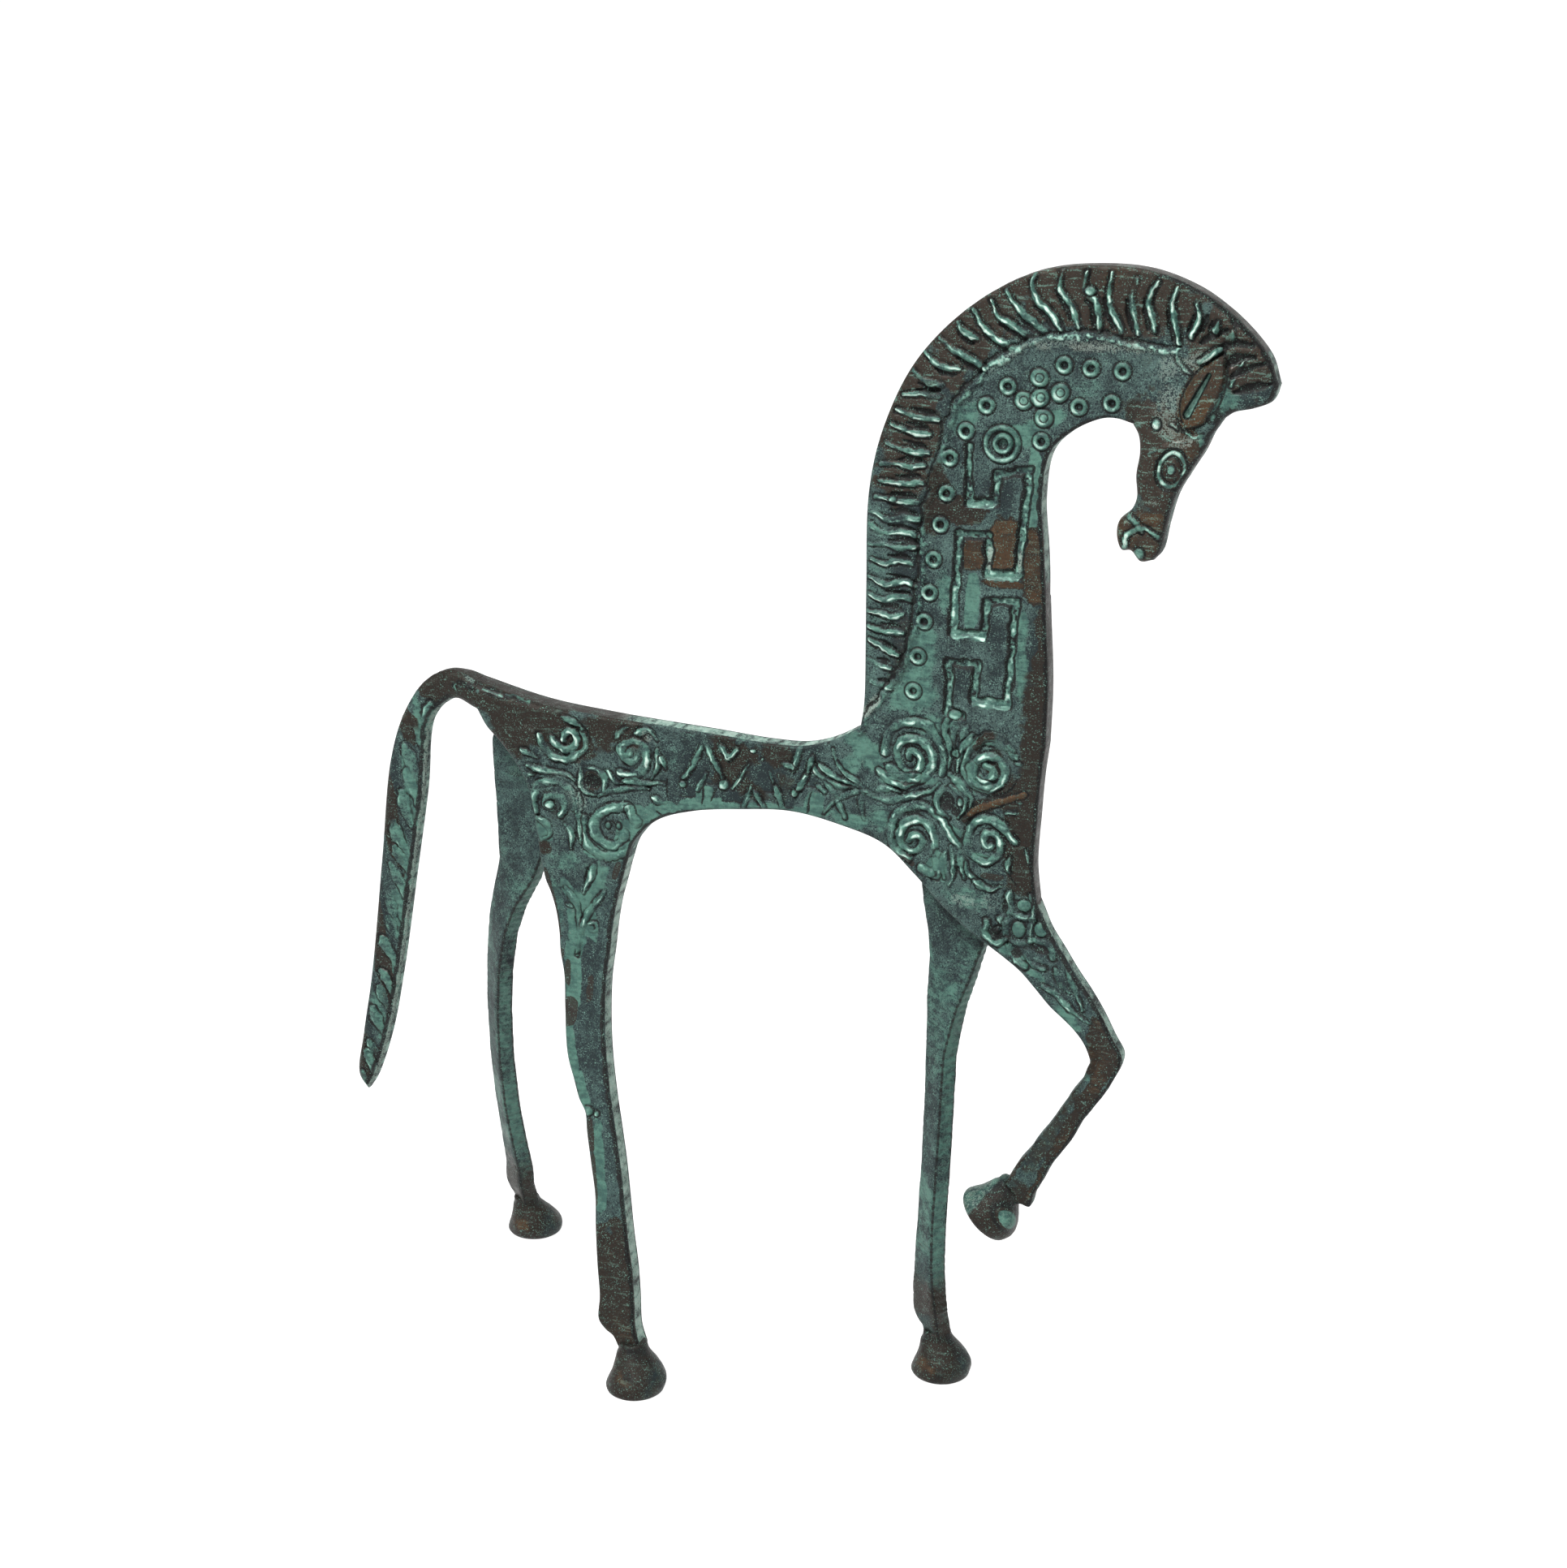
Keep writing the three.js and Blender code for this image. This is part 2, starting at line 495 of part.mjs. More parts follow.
// The mane is what is left outside the neck and head. The crest rib of the neck sits in a groove of it, and stops
// short of the withers and the poll.
const ribRun = CREST.slice(3, -2);
const through = 2 * MANE_THICKNESS;
const underMane = outline(CREST, EAR_BACK, EAR_FRONT, [FOREHEAD, THROAT], [THROAT, CHEST], [CHEST, WITHERS]);
mane = mane.subtract(plate(underMane, through));
const parting = [[...CREST, ...EAR_BACK.slice(1)], EAR_FRONT];
for (const run of parting) mane = mane.subtract(band(run, -SEAM_OVERCUT, BRAZE_GAP, through));
const groove = band(ribRun, -GROOVE_OVERCUT, CREST_RIB_HEIGHT + BRAZE_GAP, TONGUE_THICKNESS + 2 * BRAZE_GAP);
mane = mane.subtract(groove);
neck = neck.add(band(ribRun, -CREST_RIB_ROOT, CREST_RIB_HEIGHT, TONGUE_THICKNESS));

[neck, barrel] = tongueJoint(neck, barrel, CHEST, WITHERS, NECK_TONGUE);
[head, neck] = tongueJoint(head, neck, THROAT, POLL, HEAD_TONGUE);
[tail, barrel] = tongueJoint(tail, barrel, TAIL_TOP, TAIL_UNDER, TAIL_TONGUE);
[nearHindLeg, barrel] = tongueJoint(nearHindLeg, barrel, CROTCH, STIFLE, NEAR_HIND_TONGUE);
[nearForeLeg, barrel] = tongueJoint(nearForeLeg, barrel, ELBOW, SHOULDER_POINT, NEAR_FORE_TONGUE);

// The far legs lap on the body's far face, bedded in its swelling and held by pegs.
barrel = barrel.subtract(loft(FAR_HIND_STATIONS, BRAZE_GAP)).subtract(pegs(FAR_HIND_PEGS, BRAZE_GAP));
barrel = barrel.subtract(loft(FAR_FORE_STATIONS, BRAZE_GAP)).subtract(pegs(FAR_FORE_PEGS, BRAZE_GAP));
const farHindLeg = footed(loft(FAR_HIND_STATIONS).add(pegs(FAR_HIND_PEGS)), FAR_HIND_HOOF);
const farForeLeg = footed(loft(FAR_FORE_STATIONS).add(pegs(FAR_FORE_PEGS)), FAR_FORE_HOOF);
nearHindLeg = footed(nearHindLeg, NEAR_HIND_HOOF);
nearForeLeg = footed(nearForeLeg, NEAR_FORE_HOOF);

const horse = new THREE.Group();
const body = new THREE.Group();
body.add(
  meshOf("barrel", barrel, VERDIGRIS),
  meshOf("neck", neck, VERDIGRIS),
  meshOf("mane", mane, BROWN_BRONZE),
  meshOf("head", head, BROWN_BRONZE),
  meshOf("tail", tail, DARK_GREEN),
);
const legs = new THREE.Group();
legs.add(
  meshOf("near_hind_leg", nearHindLeg, VERDIGRIS),
  meshOf("far_hind_leg", farHindLeg, DARK_GREEN),
  meshOf("near_fore_leg", nearForeLeg, BROWN_BRONZE),
  meshOf("far_fore_leg", farForeLeg, DARK_GREEN),
);
const hooves = new THREE.Group();
hooves.add(
  meshOf("near_hind_hoof", hoofSolid(NEAR_HIND_HOOF), BROWN_BRONZE),
  meshOf("far_hind_hoof", hoofSolid(FAR_HIND_HOOF), BROWN_BRONZE),
  meshOf("near_fore_hoof", hoofSolid(NEAR_FORE_HOOF), BROWN_BRONZE),
  meshOf("far_fore_hoof", hoofSolid(FAR_FORE_HOOF), BROWN_BRONZE),
);
horse.add(body, legs, hooves);

// The drawing's zero is under the belly: this moves the origin to the middle of the whole figure's box.
const [MIDDLE_X] = at(-1, 0);
horse.position.set(-MIDDLE_X, 0, 0);

export default horse;
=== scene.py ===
"""The looks of a small flat-cast bronze horse under verdigris, built around its packed foundry sections.

Drawing places are [x, z] in millimetres on the figure's own plane, +X towards the head and +Z up.
The part's frame lies one millimetre behind the drawing's zero, so every mesh is shifted by DRAWING_SHIFT.
"""

from __future__ import annotations

import logging
import math
from dataclasses import dataclass, field
from enum import Enum
from typing import Iterable, Sequence

import bpy
import numpy as np
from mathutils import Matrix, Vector
from mathutils.geometry import delaunay_2d_cdt
from mathutils.kdtree import KDTree

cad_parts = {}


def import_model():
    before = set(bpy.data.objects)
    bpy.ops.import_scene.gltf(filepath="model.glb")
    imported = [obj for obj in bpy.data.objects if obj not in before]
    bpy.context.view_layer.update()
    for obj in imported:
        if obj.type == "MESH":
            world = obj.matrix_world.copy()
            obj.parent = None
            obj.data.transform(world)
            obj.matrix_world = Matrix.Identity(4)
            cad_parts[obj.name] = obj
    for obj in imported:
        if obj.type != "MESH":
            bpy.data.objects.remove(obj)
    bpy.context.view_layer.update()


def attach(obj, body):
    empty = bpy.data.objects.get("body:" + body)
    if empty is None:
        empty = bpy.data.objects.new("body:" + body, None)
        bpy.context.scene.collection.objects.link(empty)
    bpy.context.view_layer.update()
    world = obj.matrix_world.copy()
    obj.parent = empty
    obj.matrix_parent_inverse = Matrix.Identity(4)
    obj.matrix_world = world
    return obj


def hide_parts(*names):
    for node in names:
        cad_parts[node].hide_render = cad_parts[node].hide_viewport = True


log = logging.getLogger("bronze_horse")

Place = tuple[float, float]
Run = Sequence[Place]
Colour = tuple[float, float, float]

MM = 0.001
DRAWING_SHIFT = 1.0
BODY = "root"

# Where neighbouring sections meet
WITHERS = (23.4, 170.5)
CHEST = (68.4, 170.5)
THROAT = (85.5, 246.3)
POLL = (94.0, 263.4)
EAR_TIP = (105.5, 263.8)
FOREHEAD = (105.2, 248.5)
TAIL_TOP = (-78.0, 172.4)
TAIL_UNDER = (-77.5, 165.2)
CROTCH = (-60.3, 121.5)
STIFLE = (-39.5, 123.0)
ELBOW = (50.5, 123.0)
SHOULDER_POINT = (67.5, 131.5)
TAIL_TIP = (-116.0, 54.0)
MANE_FRONT = (116.5, 256.0)

# Smooth runs of the silhouette, from one meeting point to the next
BACK = (TAIL_TOP, (-60, 168.2), (-42.5, 166.5), (-16, 165), (1, 164), (9.5, 164.4), (16, 166.4), WITHERS)
BREAST = (CHEST, (67.5, 162), (67, 153), (66.5, 140.5), SHOULDER_POINT)
BELLY = (
    ELBOW, (44.5, 128), (37.3, 135.3), (29.5, 142), (18.5, 145.5), (6, 147.5), (-7, 146.5), (-20, 144.5),
    (-29.5, 141), (-35.5, 135), (-37.8, 129), STIFLE,
)
BUTTOCK = (
    CROTCH, (-61.5, 127.5), (-62.4, 136), (-64.3, 147), (-67.5, 152.5), (-71, 157), (-75, 161), TAIL_UNDER,
)
CREST = (
    WITHERS, (25, 174.5), (29, 180), (33, 186.5), (35, 193), (37, 207), (38, 221.5), (41.5, 237.5),
    (44.5, 247.5), (52.5, 257.5), (63, 264), (77.5, 265.5), (86, 263.8), POLL,
)
THROAT_LINE = (
    THROAT, (82, 247.2), (78.5, 247), (71.5, 243.5), (67, 238.5), (65.5, 228), (66.5, 216), (67.5, 200.5),
    (68.5, 185), CHEST,
)
EAR_BACK = (POLL, (98, 263.6), (102, 263), EAR_TIP)
EAR_FRONT = (EAR_TIP, (104.8, 257), FOREHEAD)
FACE = (FOREHEAD, (103, 245), (101.3, 241), (99, 237), (95.8, 231), (94, 224), (92.8, 218), (91.3, 216.2))
MUZZLE = (
    (91.3, 216.2), (88.5, 215.7), (86.2, 218), (84.2, 218), (83, 220.5), (83.2, 224.3), (86, 227.3),
    (87, 230), (86.6, 235), (87.2, 240), (86.8, 243.8), THROAT,
)
MANE_OUTER = (
    WITHERS, (24.3, 177), (24.5, 193), (24.5, 205), (25, 228), (28.5, 243), (36, 258), (48.5, 270.5),
    (62.5, 278), (75.5, 280), (89.5, 279), (103, 273), (114, 262.5), MANE_FRONT,
)
MANE_FOOT = (MANE_FRONT, (115.3, 252.8), (111.5, 251), (107.5, 250), FOREHEAD)
TAIL_OUTER = (
    TAIL_TOP, (-82, 173.8), (-86.5, 174), (-93.5, 170), (-99.5, 161.5), (-104, 148.5), (-108, 121.5),
    (-113, 88), (-116.5, 70.5), (-118.5, 58), TAIL_TIP,
)
TAIL_INNER = (
    TAIL_TIP, (-113.5, 58), (-108.5, 71.5), (-104, 90.5), (-98.5, 119.5), (-94.5, 141), (-91.5, 160.5),
    (-86.5, 166), (-83, 167), TAIL_UNDER,
)
HIND_FRONT = (
    STIFLE, (-41, 117.5), (-42, 111), (-42.5, 104.5), (-43, 97.5), (-42.5, 89.5), (-41, 79.5), (-38.5, 69),
    (-36.5, 62), (-34, 53), (-32, 44.5), (-30, 36), (-28, 28.5), (-26.5, 21), (-25.4, 14.5), (-23.4, 10.2),
)
HIND_REAR = (
    (-29.6, 10.2), (-31.2, 12.4), (-33.4, 13.6), (-35.6, 15.8), (-36, 21.5), (-37.5, 29), (-39, 38),
    (-40, 45.5), (-42, 53), (-44, 60.5), (-45, 65), (-47, 68), (-49, 72.5), (-51.5, 78.5), (-53.5, 90),
    (-54.5, 97.5), (-56, 103.5), (-56.5, 108), (-57.5, 113.5), (-59, 118.5), CROTCH,
)
RAISED_REAR = (
    ELBOW, (57, 119), (60.5, 117), (64.5, 114.5), (68, 111.5), (72.5, 107.5), (75.5, 105.5), (79, 103),
    (81.5, 100.5), (83, 98), (83.5, 96.5), (83, 95), (82, 92), (80, 89), (77.5, 84.5), (75, 80), (72, 75.5),
    (70, 72), (67.5, 68.5), (66.2, 66), (64.8, 63.2), (62.6, 60.6),
)
RAISED_FRONT = (
    (66.6, 56.9), (68.2, 57.6), (70.6, 57.2), (71.6, 60.5), (73.5, 64.5), (75.5, 69), (78, 73), (80.5, 77),
    (82.5, 81.5), (85, 85.5), (87.5, 89.5), (90, 94.5), (91, 97), (91, 99), (88.5, 102.5), (85.5, 107),
    (82, 111.5), (78, 116), (74.5, 120.5), (71, 125), (68.5, 129.5), SHOULDER_POINT,
)


class Side(Enum):
    """The two broad faces of a flat casting."""

    NEAR = -1
    FAR = 1


class Cut(Enum):
    """How a line of ornament meets the ground."""

    RIDGE = "ridge"
    CHANNEL = "channel"
    GROOVE = "groove"


class Tint(Enum):
    """The kinds of patina that lie in patches."""

    BROWN = "brown"
    FRESH = "fresh"
    PALE = "pale"
    SHADE = "shade"
    FLAKE = "flake"


def smooth(value: np.ndarray, low: float, high: float) -> np.ndarray:
    """Smooth steps from 0 at low to 1 at high.

    Args:
        value: The values to grade.
        low: Where the step starts.
        high: Where the step ends.

    Returns:
        The graded values, from 0 to 1.
    """
    share = np.clip((value - low) / (high - low), 0.0, 1.0)
    return share * share * (3.0 - 2.0 * share)


def lattice(points: np.ndarray, cell: float, seed: int) -> np.ndarray:
    """Smooth value noise on a lattice.

    Args:
        points: Places, one row each, in millimetres.
        cell: The size of a lattice cell in millimetres.
        seed: The number that picks the pattern.

    Returns:
        One value from -1 to 1 for each point.
    """
    scaled = points / cell
    corner = np.floor(scaled).astype(np.int64)
    part = scaled - corner
    part = part * part * (3.0 - 2.0 * part)
    dims = points.shape[1]
    primes = (374761393, 668265263, 2246822519)
    total = np.zeros(len(points))
    for bits in range(2 ** dims):
        weight = np.ones(len(points))
        key = np.full(len(points), seed * 1274126177, dtype=np.int64)
        for axis in range(dims):
            step = (bits >> axis) & 1
            weight *= part[:, axis] if step else 1.0 - part[:, axis]
            key += (corner[:, axis] + step) * primes[axis]
        key &= 0xFFFFFFFF
        key = ((key ^ (key >> 13)) * 1274126177) & 0xFFFFFFFF
        key = ((key ^ (key >> 15)) * 2246822519) & 0xFFFFFFFF
        total += weight * ((key ^ (key >> 16)) / 2147483648.0 - 1.0)
    return total


def rough(points: np.ndarray, cell: float, octaves: int, seed: int) -> np.ndarray:
    """Several octaves of lattice noise, each half the size and strength of the last.

    Args:
        points: Places, one row each, in millimetres.
        cell: The largest cell in millimetres.
        octaves: How many octaves are added.
        seed: The number that picks the pattern.

    Returns:
        One value of about -1 to 1 for each point.
    """
    total = np.zeros(len(points))
    strength = 0.5
    for octave in range(octaves):
        total += strength * lattice(points, cell / 2 ** octave, seed + 17 * octave)
        strength *= 0.55
    return total


def run_points(run: Run, step: float) -> np.ndarray:
    """Even points along a centripetal curve through the places of a run.

    Args:
        run: The places, two or more.
        step: The wanted spacing in millimetres.

    Returns:
        The points with both ends, one row each.
    """
    stops = np.array(run, float)
    if len(stops) == 2:
        dense = np.linspace(stops[0], stops[1], 64)
    else:
        padded = np.vstack([2 * stops[0] - stops[1], stops, 2 * stops[-1] - stops[-2]])
        spans = np.sqrt(np.linalg.norm(np.diff(padded, axis=0), axis=1))
        pieces = []
        share = np.linspace(0.0, 1.0, 24, endpoint=False)[:, None]
        for i in range(1, len(padded) - 2):
            p0, p1, p2, p3 = padded[i - 1:i + 3]
            d0, d1, d2 = spans[i - 1:i + 2]
            m1 = d1 * ((p1 - p0) / d0 - (p2 - p0) / (d0 + d1) + (p2 - p1) / d1)
            m2 = d1 * ((p2 - p1) / d1 - (p3 - p1) / (d1 + d2) + (p3 - p2) / d2)
            a = 2 * (p1 - p2) + m1 + m2
            b = -3 * (p1 - p2) - 2 * m1 - m2
            pieces.append(((a * share + b) * share + m1) * share + p1)
        dense = np.vstack(pieces + [stops[-1:]])
    along = np.concatenate([[0.0], np.cumsum(np.linalg.norm(np.diff(dense, axis=0), axis=1))])
    count = max(1, round(along[-1] / step))
    marks = np.linspace(0.0, along[-1], count + 1)
    return np.stack([np.interp(marks, along, dense[:, k]) for k in (0, 1)], axis=1)


def inside(points: np.ndarray, loop: np.ndarray) -> np.ndarray:
    """Which points lie inside a closed outline.

    Args:
        points: The points to test, one row each.
        loop: The corners of the outline in order.

    Returns:
        True for each point inside.
    """
    held = np.zeros(len(points), bool)
    for (x0, z0), (x1, z1) in zip(loop, np.roll(loop, -1, axis=0)):
        if z0 == z1:
            continue
        crosses = (z0 > points[:, 1]) != (z1 > points[:, 1])
        held ^= crosses & (points[:, 0] < (x1 - x0) * (points[:, 1] - z0) / (z1 - z0) + x0)
    return held


class Nearness:
    """Distances from places to a set of dense lines."""

    def __init__(self, lines: Iterable[np.ndarray]) -> None:
        """Collects the segments of the lines.

        Args:
            lines: Arrays of points, each one open line.
        """
        runs = list(lines)
        self.start = np.vstack([run[:-1] for run in runs])
        self.end = np.vstack([run[1:] for run in runs])
        self.tree = tree_of((self.start + self.end) / 2)

    def of(self, points: np.ndarray) -> np.ndarray:
        """The distance from each point to the nearest line.

        Args:
            points: Places, one row each.

        Returns:
            One distance for each point.
        """
        near = np.array([[hit[1] for hit in self.tree.find_n((x, z, 0.0), 2)] for x, z in points])
        best = np.full(len(points), np.inf)
        for pick in near.T:
            best = np.minimum(best, segment_distance(points, self.start[pick], self.end[pick])[0])
        return best


def tree_of(places: np.ndarray) -> KDTree:
    """A search tree of drawing places, numbered in their order."""
    tree = KDTree(len(places))
    for i, (x, z) in enumerate(places):
        tree.insert((x, z, 0.0), i)
    tree.balance()
    return tree


def segment_distance(
    points: np.ndarray, start: np.ndarray, end: np.ndarray
) -> tuple[np.ndarray, np.ndarray, np.ndarray]:
    """Distances from points to segments, with the share along and the side.

    Args:
        points: Places, one row each.
        start: Where each segment starts, or one start for all.
        end: Where each segment ends, or one end for all.

    Returns:
        The distance, the share along the segment, and the signed offset to its left.
    """
    way = end - start
    length2 = np.maximum((way * way).sum(-1), 1e-12)
    share = np.clip(((points - start) * way).sum(-1) / length2, 0.0, 1.0)
    gap = points - (start + way * share[..., None])
    left = (way[..., 0] * gap[..., 1] - way[..., 1] * gap[..., 0]) / np.sqrt(length2)
    return np.hypot(gap[..., 0], gap[..., 1]), share, left


@dataclass(frozen=True)
class Stroke:
    """The section and colour of a family of lines: lean moves the painted glint, even leaves out the breaks
    where the line wears away.
    """

    half_width: float
    height: float
    cut: Cut = Cut.RIDGE
    outline: float = 0.2
    body: float = 0.9
    bright: float = 0.5
    taper: float = 0.0
    curved: bool = True
    brown: float = 0.0
    lean: float = 0.0
    even: bool = False


@dataclass(frozen=True)
class Line:
    """One line of ornament: its places and its stroke."""

    places: Run
    stroke: Stroke


@dataclass(frozen=True)
class Ring:
    """A raised ring with a pit in its middle."""

    middle: Place
    radius: float = 1.4
    half_width: float = 0.55
    height: float = 0.3
    pit: float = 0.5
    body: float = 0.9


@dataclass(frozen=True)
class Dome:
    """A round stud, or a pit where its height is below zero."""

    middle: Place
    radius: float
    height: float
    stretch: float = 1.0
    bright: float = 0.5
    dent: float = 0.0


@dataclass(frozen=True)
class Patch:
    """A ragged oval of one tint."""

    tint: Tint
    middle: Place
    reach: Place
    turn: float = 0.0
    strength: float = 1.0


@dataclass
class Marks:
    """What the ornament does at a set of places: the height, the painted highlight, the darkening of its
    grooves with painted shade and dark patina, and the shares of each tint.
    """

    height: np.ndarray
    crest: np.ndarray
    groove: np.ndarray
    tints: dict[Tint, np.ndarray]


SCROLL = Stroke(1.02, 0.66, outline=0.38, body=0.88, bright=1.05, taper=0.2)
BAND = Stroke(1.2, 0.5, outline=0.34, bright=0.8)
LEAF = Stroke(0.85, 0.55, outline=0.32, body=0.8, bright=0.9, taper=0.75)
FORELOCK = Stroke(1.0, 0.7, Cut.GROOVE, taper=0.5)
THIN = Stroke(0.36, 0.34, outline=0.14, bright=1.0, taper=0.5)
STEM = Stroke(0.8, 0.42, outline=0.24, body=0.0, bright=0.0, brown=0.9)
INCISED = Stroke(0.3, 0.3, Cut.GROOVE, taper=0.4)
GAP = Stroke(0.72, 0.5, Cut.GROOVE, taper=0.5)
BAR = Stroke(0.68, 0.6, outline=0.3, bright=0.95, taper=0.3, curved=False)
CELL = Stroke(0.66, 0.55, outline=0.34, body=0.6, bright=0.8)
KEY = Stroke(0.9, 0.7, Cut.CHANNEL, outline=0.2, body=0.95, bright=0.6, curved=False)
LIT_EDGE = Stroke(0.9, 0.3, outline=0.0, body=1.2, bright=1.15, curved=False, lean=-0.5)
LOCK = Stroke(0.86, 0.75, outline=0.34, body=0.95, bright=1.4, taper=0.5)
MOUTH = Stroke(0.56, 0.45, outline=0.2, body=1.2, bright=0.95, even=True)
NECK_LOCK = Stroke(0.72, 0.66, outline=0.3, body=0.9, bright=1.4, taper=0.35, lean=0.3)
TAIL_LOCK = Stroke(1.7, 0.45, outline=0.32, body=0.85, bright=0.6, taper=0.6, lean=-0.6)

SCROLLS = (
    (
        (28.2, 160.4), (31.2, 158.3), (33.9, 157.6), (36.1, 158.2), (38.9, 159.6), (40.9, 161.9),
        (41.6, 164.6), (40.9, 166.8), (38.9, 168.9), (36.1, 169.1), (33.9, 168), (32.7, 165.9), (33, 163.2),
        (34.3, 161.4), (36.6, 160.7), (38.4, 162.3), (38.7, 165), (36.4, 166.4), (35.4, 164.6),
    ),
    (
        (61, 167.5), (59, 169.6), (56, 170.7), (53, 170.4), (50.6, 168.8), (49.3, 166), (49.3, 163),
        (50.6, 160.6), (52.8, 158.9), (55.4, 158.6), (57.6, 159.8), (58.9, 162.2), (58.8, 164.4), (57, 166.6),
        (54.6, 166.9), (52.4, 165.4), (51.8, 163), (52.9, 161.4), (54.7, 161), (56.3, 162.4), (56.1, 164),
        (54.4, 164.6),
    ),
    (
        (36, 139.6), (33.5, 140.6), (31.9, 142.6), (31.6, 145.5), (32, 148.7), (33.9, 151), (36.6, 152.8),
        (39.8, 152.8), (43.4, 150.5), (45.2, 148.2), (47, 145.4), (48.4, 143.7),
    ),
    (
        (42.2, 141.6), (42.4, 144.4), (41.6, 147), (39.8, 148.9), (37, 149.2), (34.6, 147.8), (33.6, 145),
        (34.3, 142.6), (36.1, 141.3), (38.2, 141.7), (39.4, 143.6), (38.6, 145.4), (36.8, 145.5), (35.9, 144),
    ),
    (
        (61.7, 146.3), (60.1, 148.9), (57.4, 150.6), (54.4, 151.2), (52, 149.9), (50.6, 147.5), (50.3, 145),
        (50.9, 142.8), (52.6, 141.2), (55, 140.6), (57, 141.7), (58.3, 143.5), (58.5, 145.8), (57.3, 147.8),
        (55.3, 147.9), (54.2, 146.2), (55, 144.4), (56.5, 144.7),
    ),
    ((29.8, 165.2), (30, 168), (31.2, 171.2), (34, 172.7), (37, 173.3), (40, 172.8), (42, 170.6),
     (43.6, 167.8), (44.2, 164.5), (43.8, 161.6)),
    ((-59.8, 160.4), (-59, 158.1), (-56.8, 155.5), (-54.3, 154.7), (-51.3, 155.5), (-48.3, 157.7),
     (-47.7, 160.2), (-48.6, 162.4)),
    ((-56.8, 160.4), (-55.5, 158.5), (-53, 157.2), (-50.6, 158.7), (-50.2, 161.1), (-51.6, 162.5),
     (-53.2, 161.6), (-53.8, 160)),
    (
        (-39, 152.8), (-36, 152.1), (-33.4, 153.2), (-31.9, 155.3), (-31.6, 158.1), (-32.8, 160.3),
        (-35.1, 161.3), (-37.3, 160.5), (-38.5, 158.5), (-37.9, 156.7), (-35.9, 155.8), (-34.2, 156.8),
        (-34, 158.8), (-35.4, 159.2), (-36.2, 157.8),
    ),
    ((-62.4, 140.2), (-62.6, 143.4), (-61.2, 146.5), (-58.8, 148.3), (-55.9, 148.4), (-53, 147.2),
     (-51.2, 144.5), (-51.2, 141.4)),
    ((-55.2, 139.6), (-53.9, 141.6), (-54.4, 143.8), (-56.4, 144.9), (-58.8, 144.2), (-59.4, 142.2),
     (-57.6, 141.5)),
)

BANDS = (
    ((-37.2, 144.2), (-41, 143.2), (-44.3, 141.7), (-45.9, 139.4), (-46, 136.3), (-44, 133.9), (-41, 133),
     (-38.6, 134.1), (-38.1, 136.6)),
    ((-49.4, 139.6), (-49.4, 135.4), (-47.2, 131.8), (-43.4, 130.3), (-39.4, 130.9), (-36.4, 133.6)),
    ((-34.8, 139.9), (-36.2, 143.4)),
    ((43.4, 141), (43.2, 138.2), (42.2, 135.8)),
    ((39.6, 137.2), (41.2, 136.2)),
    ((30.8, 161.6), (33.6, 159.6), (37.4, 159.6)),
    ((51.2, 164), (52, 160.6), (54.8, 159.6)),
)

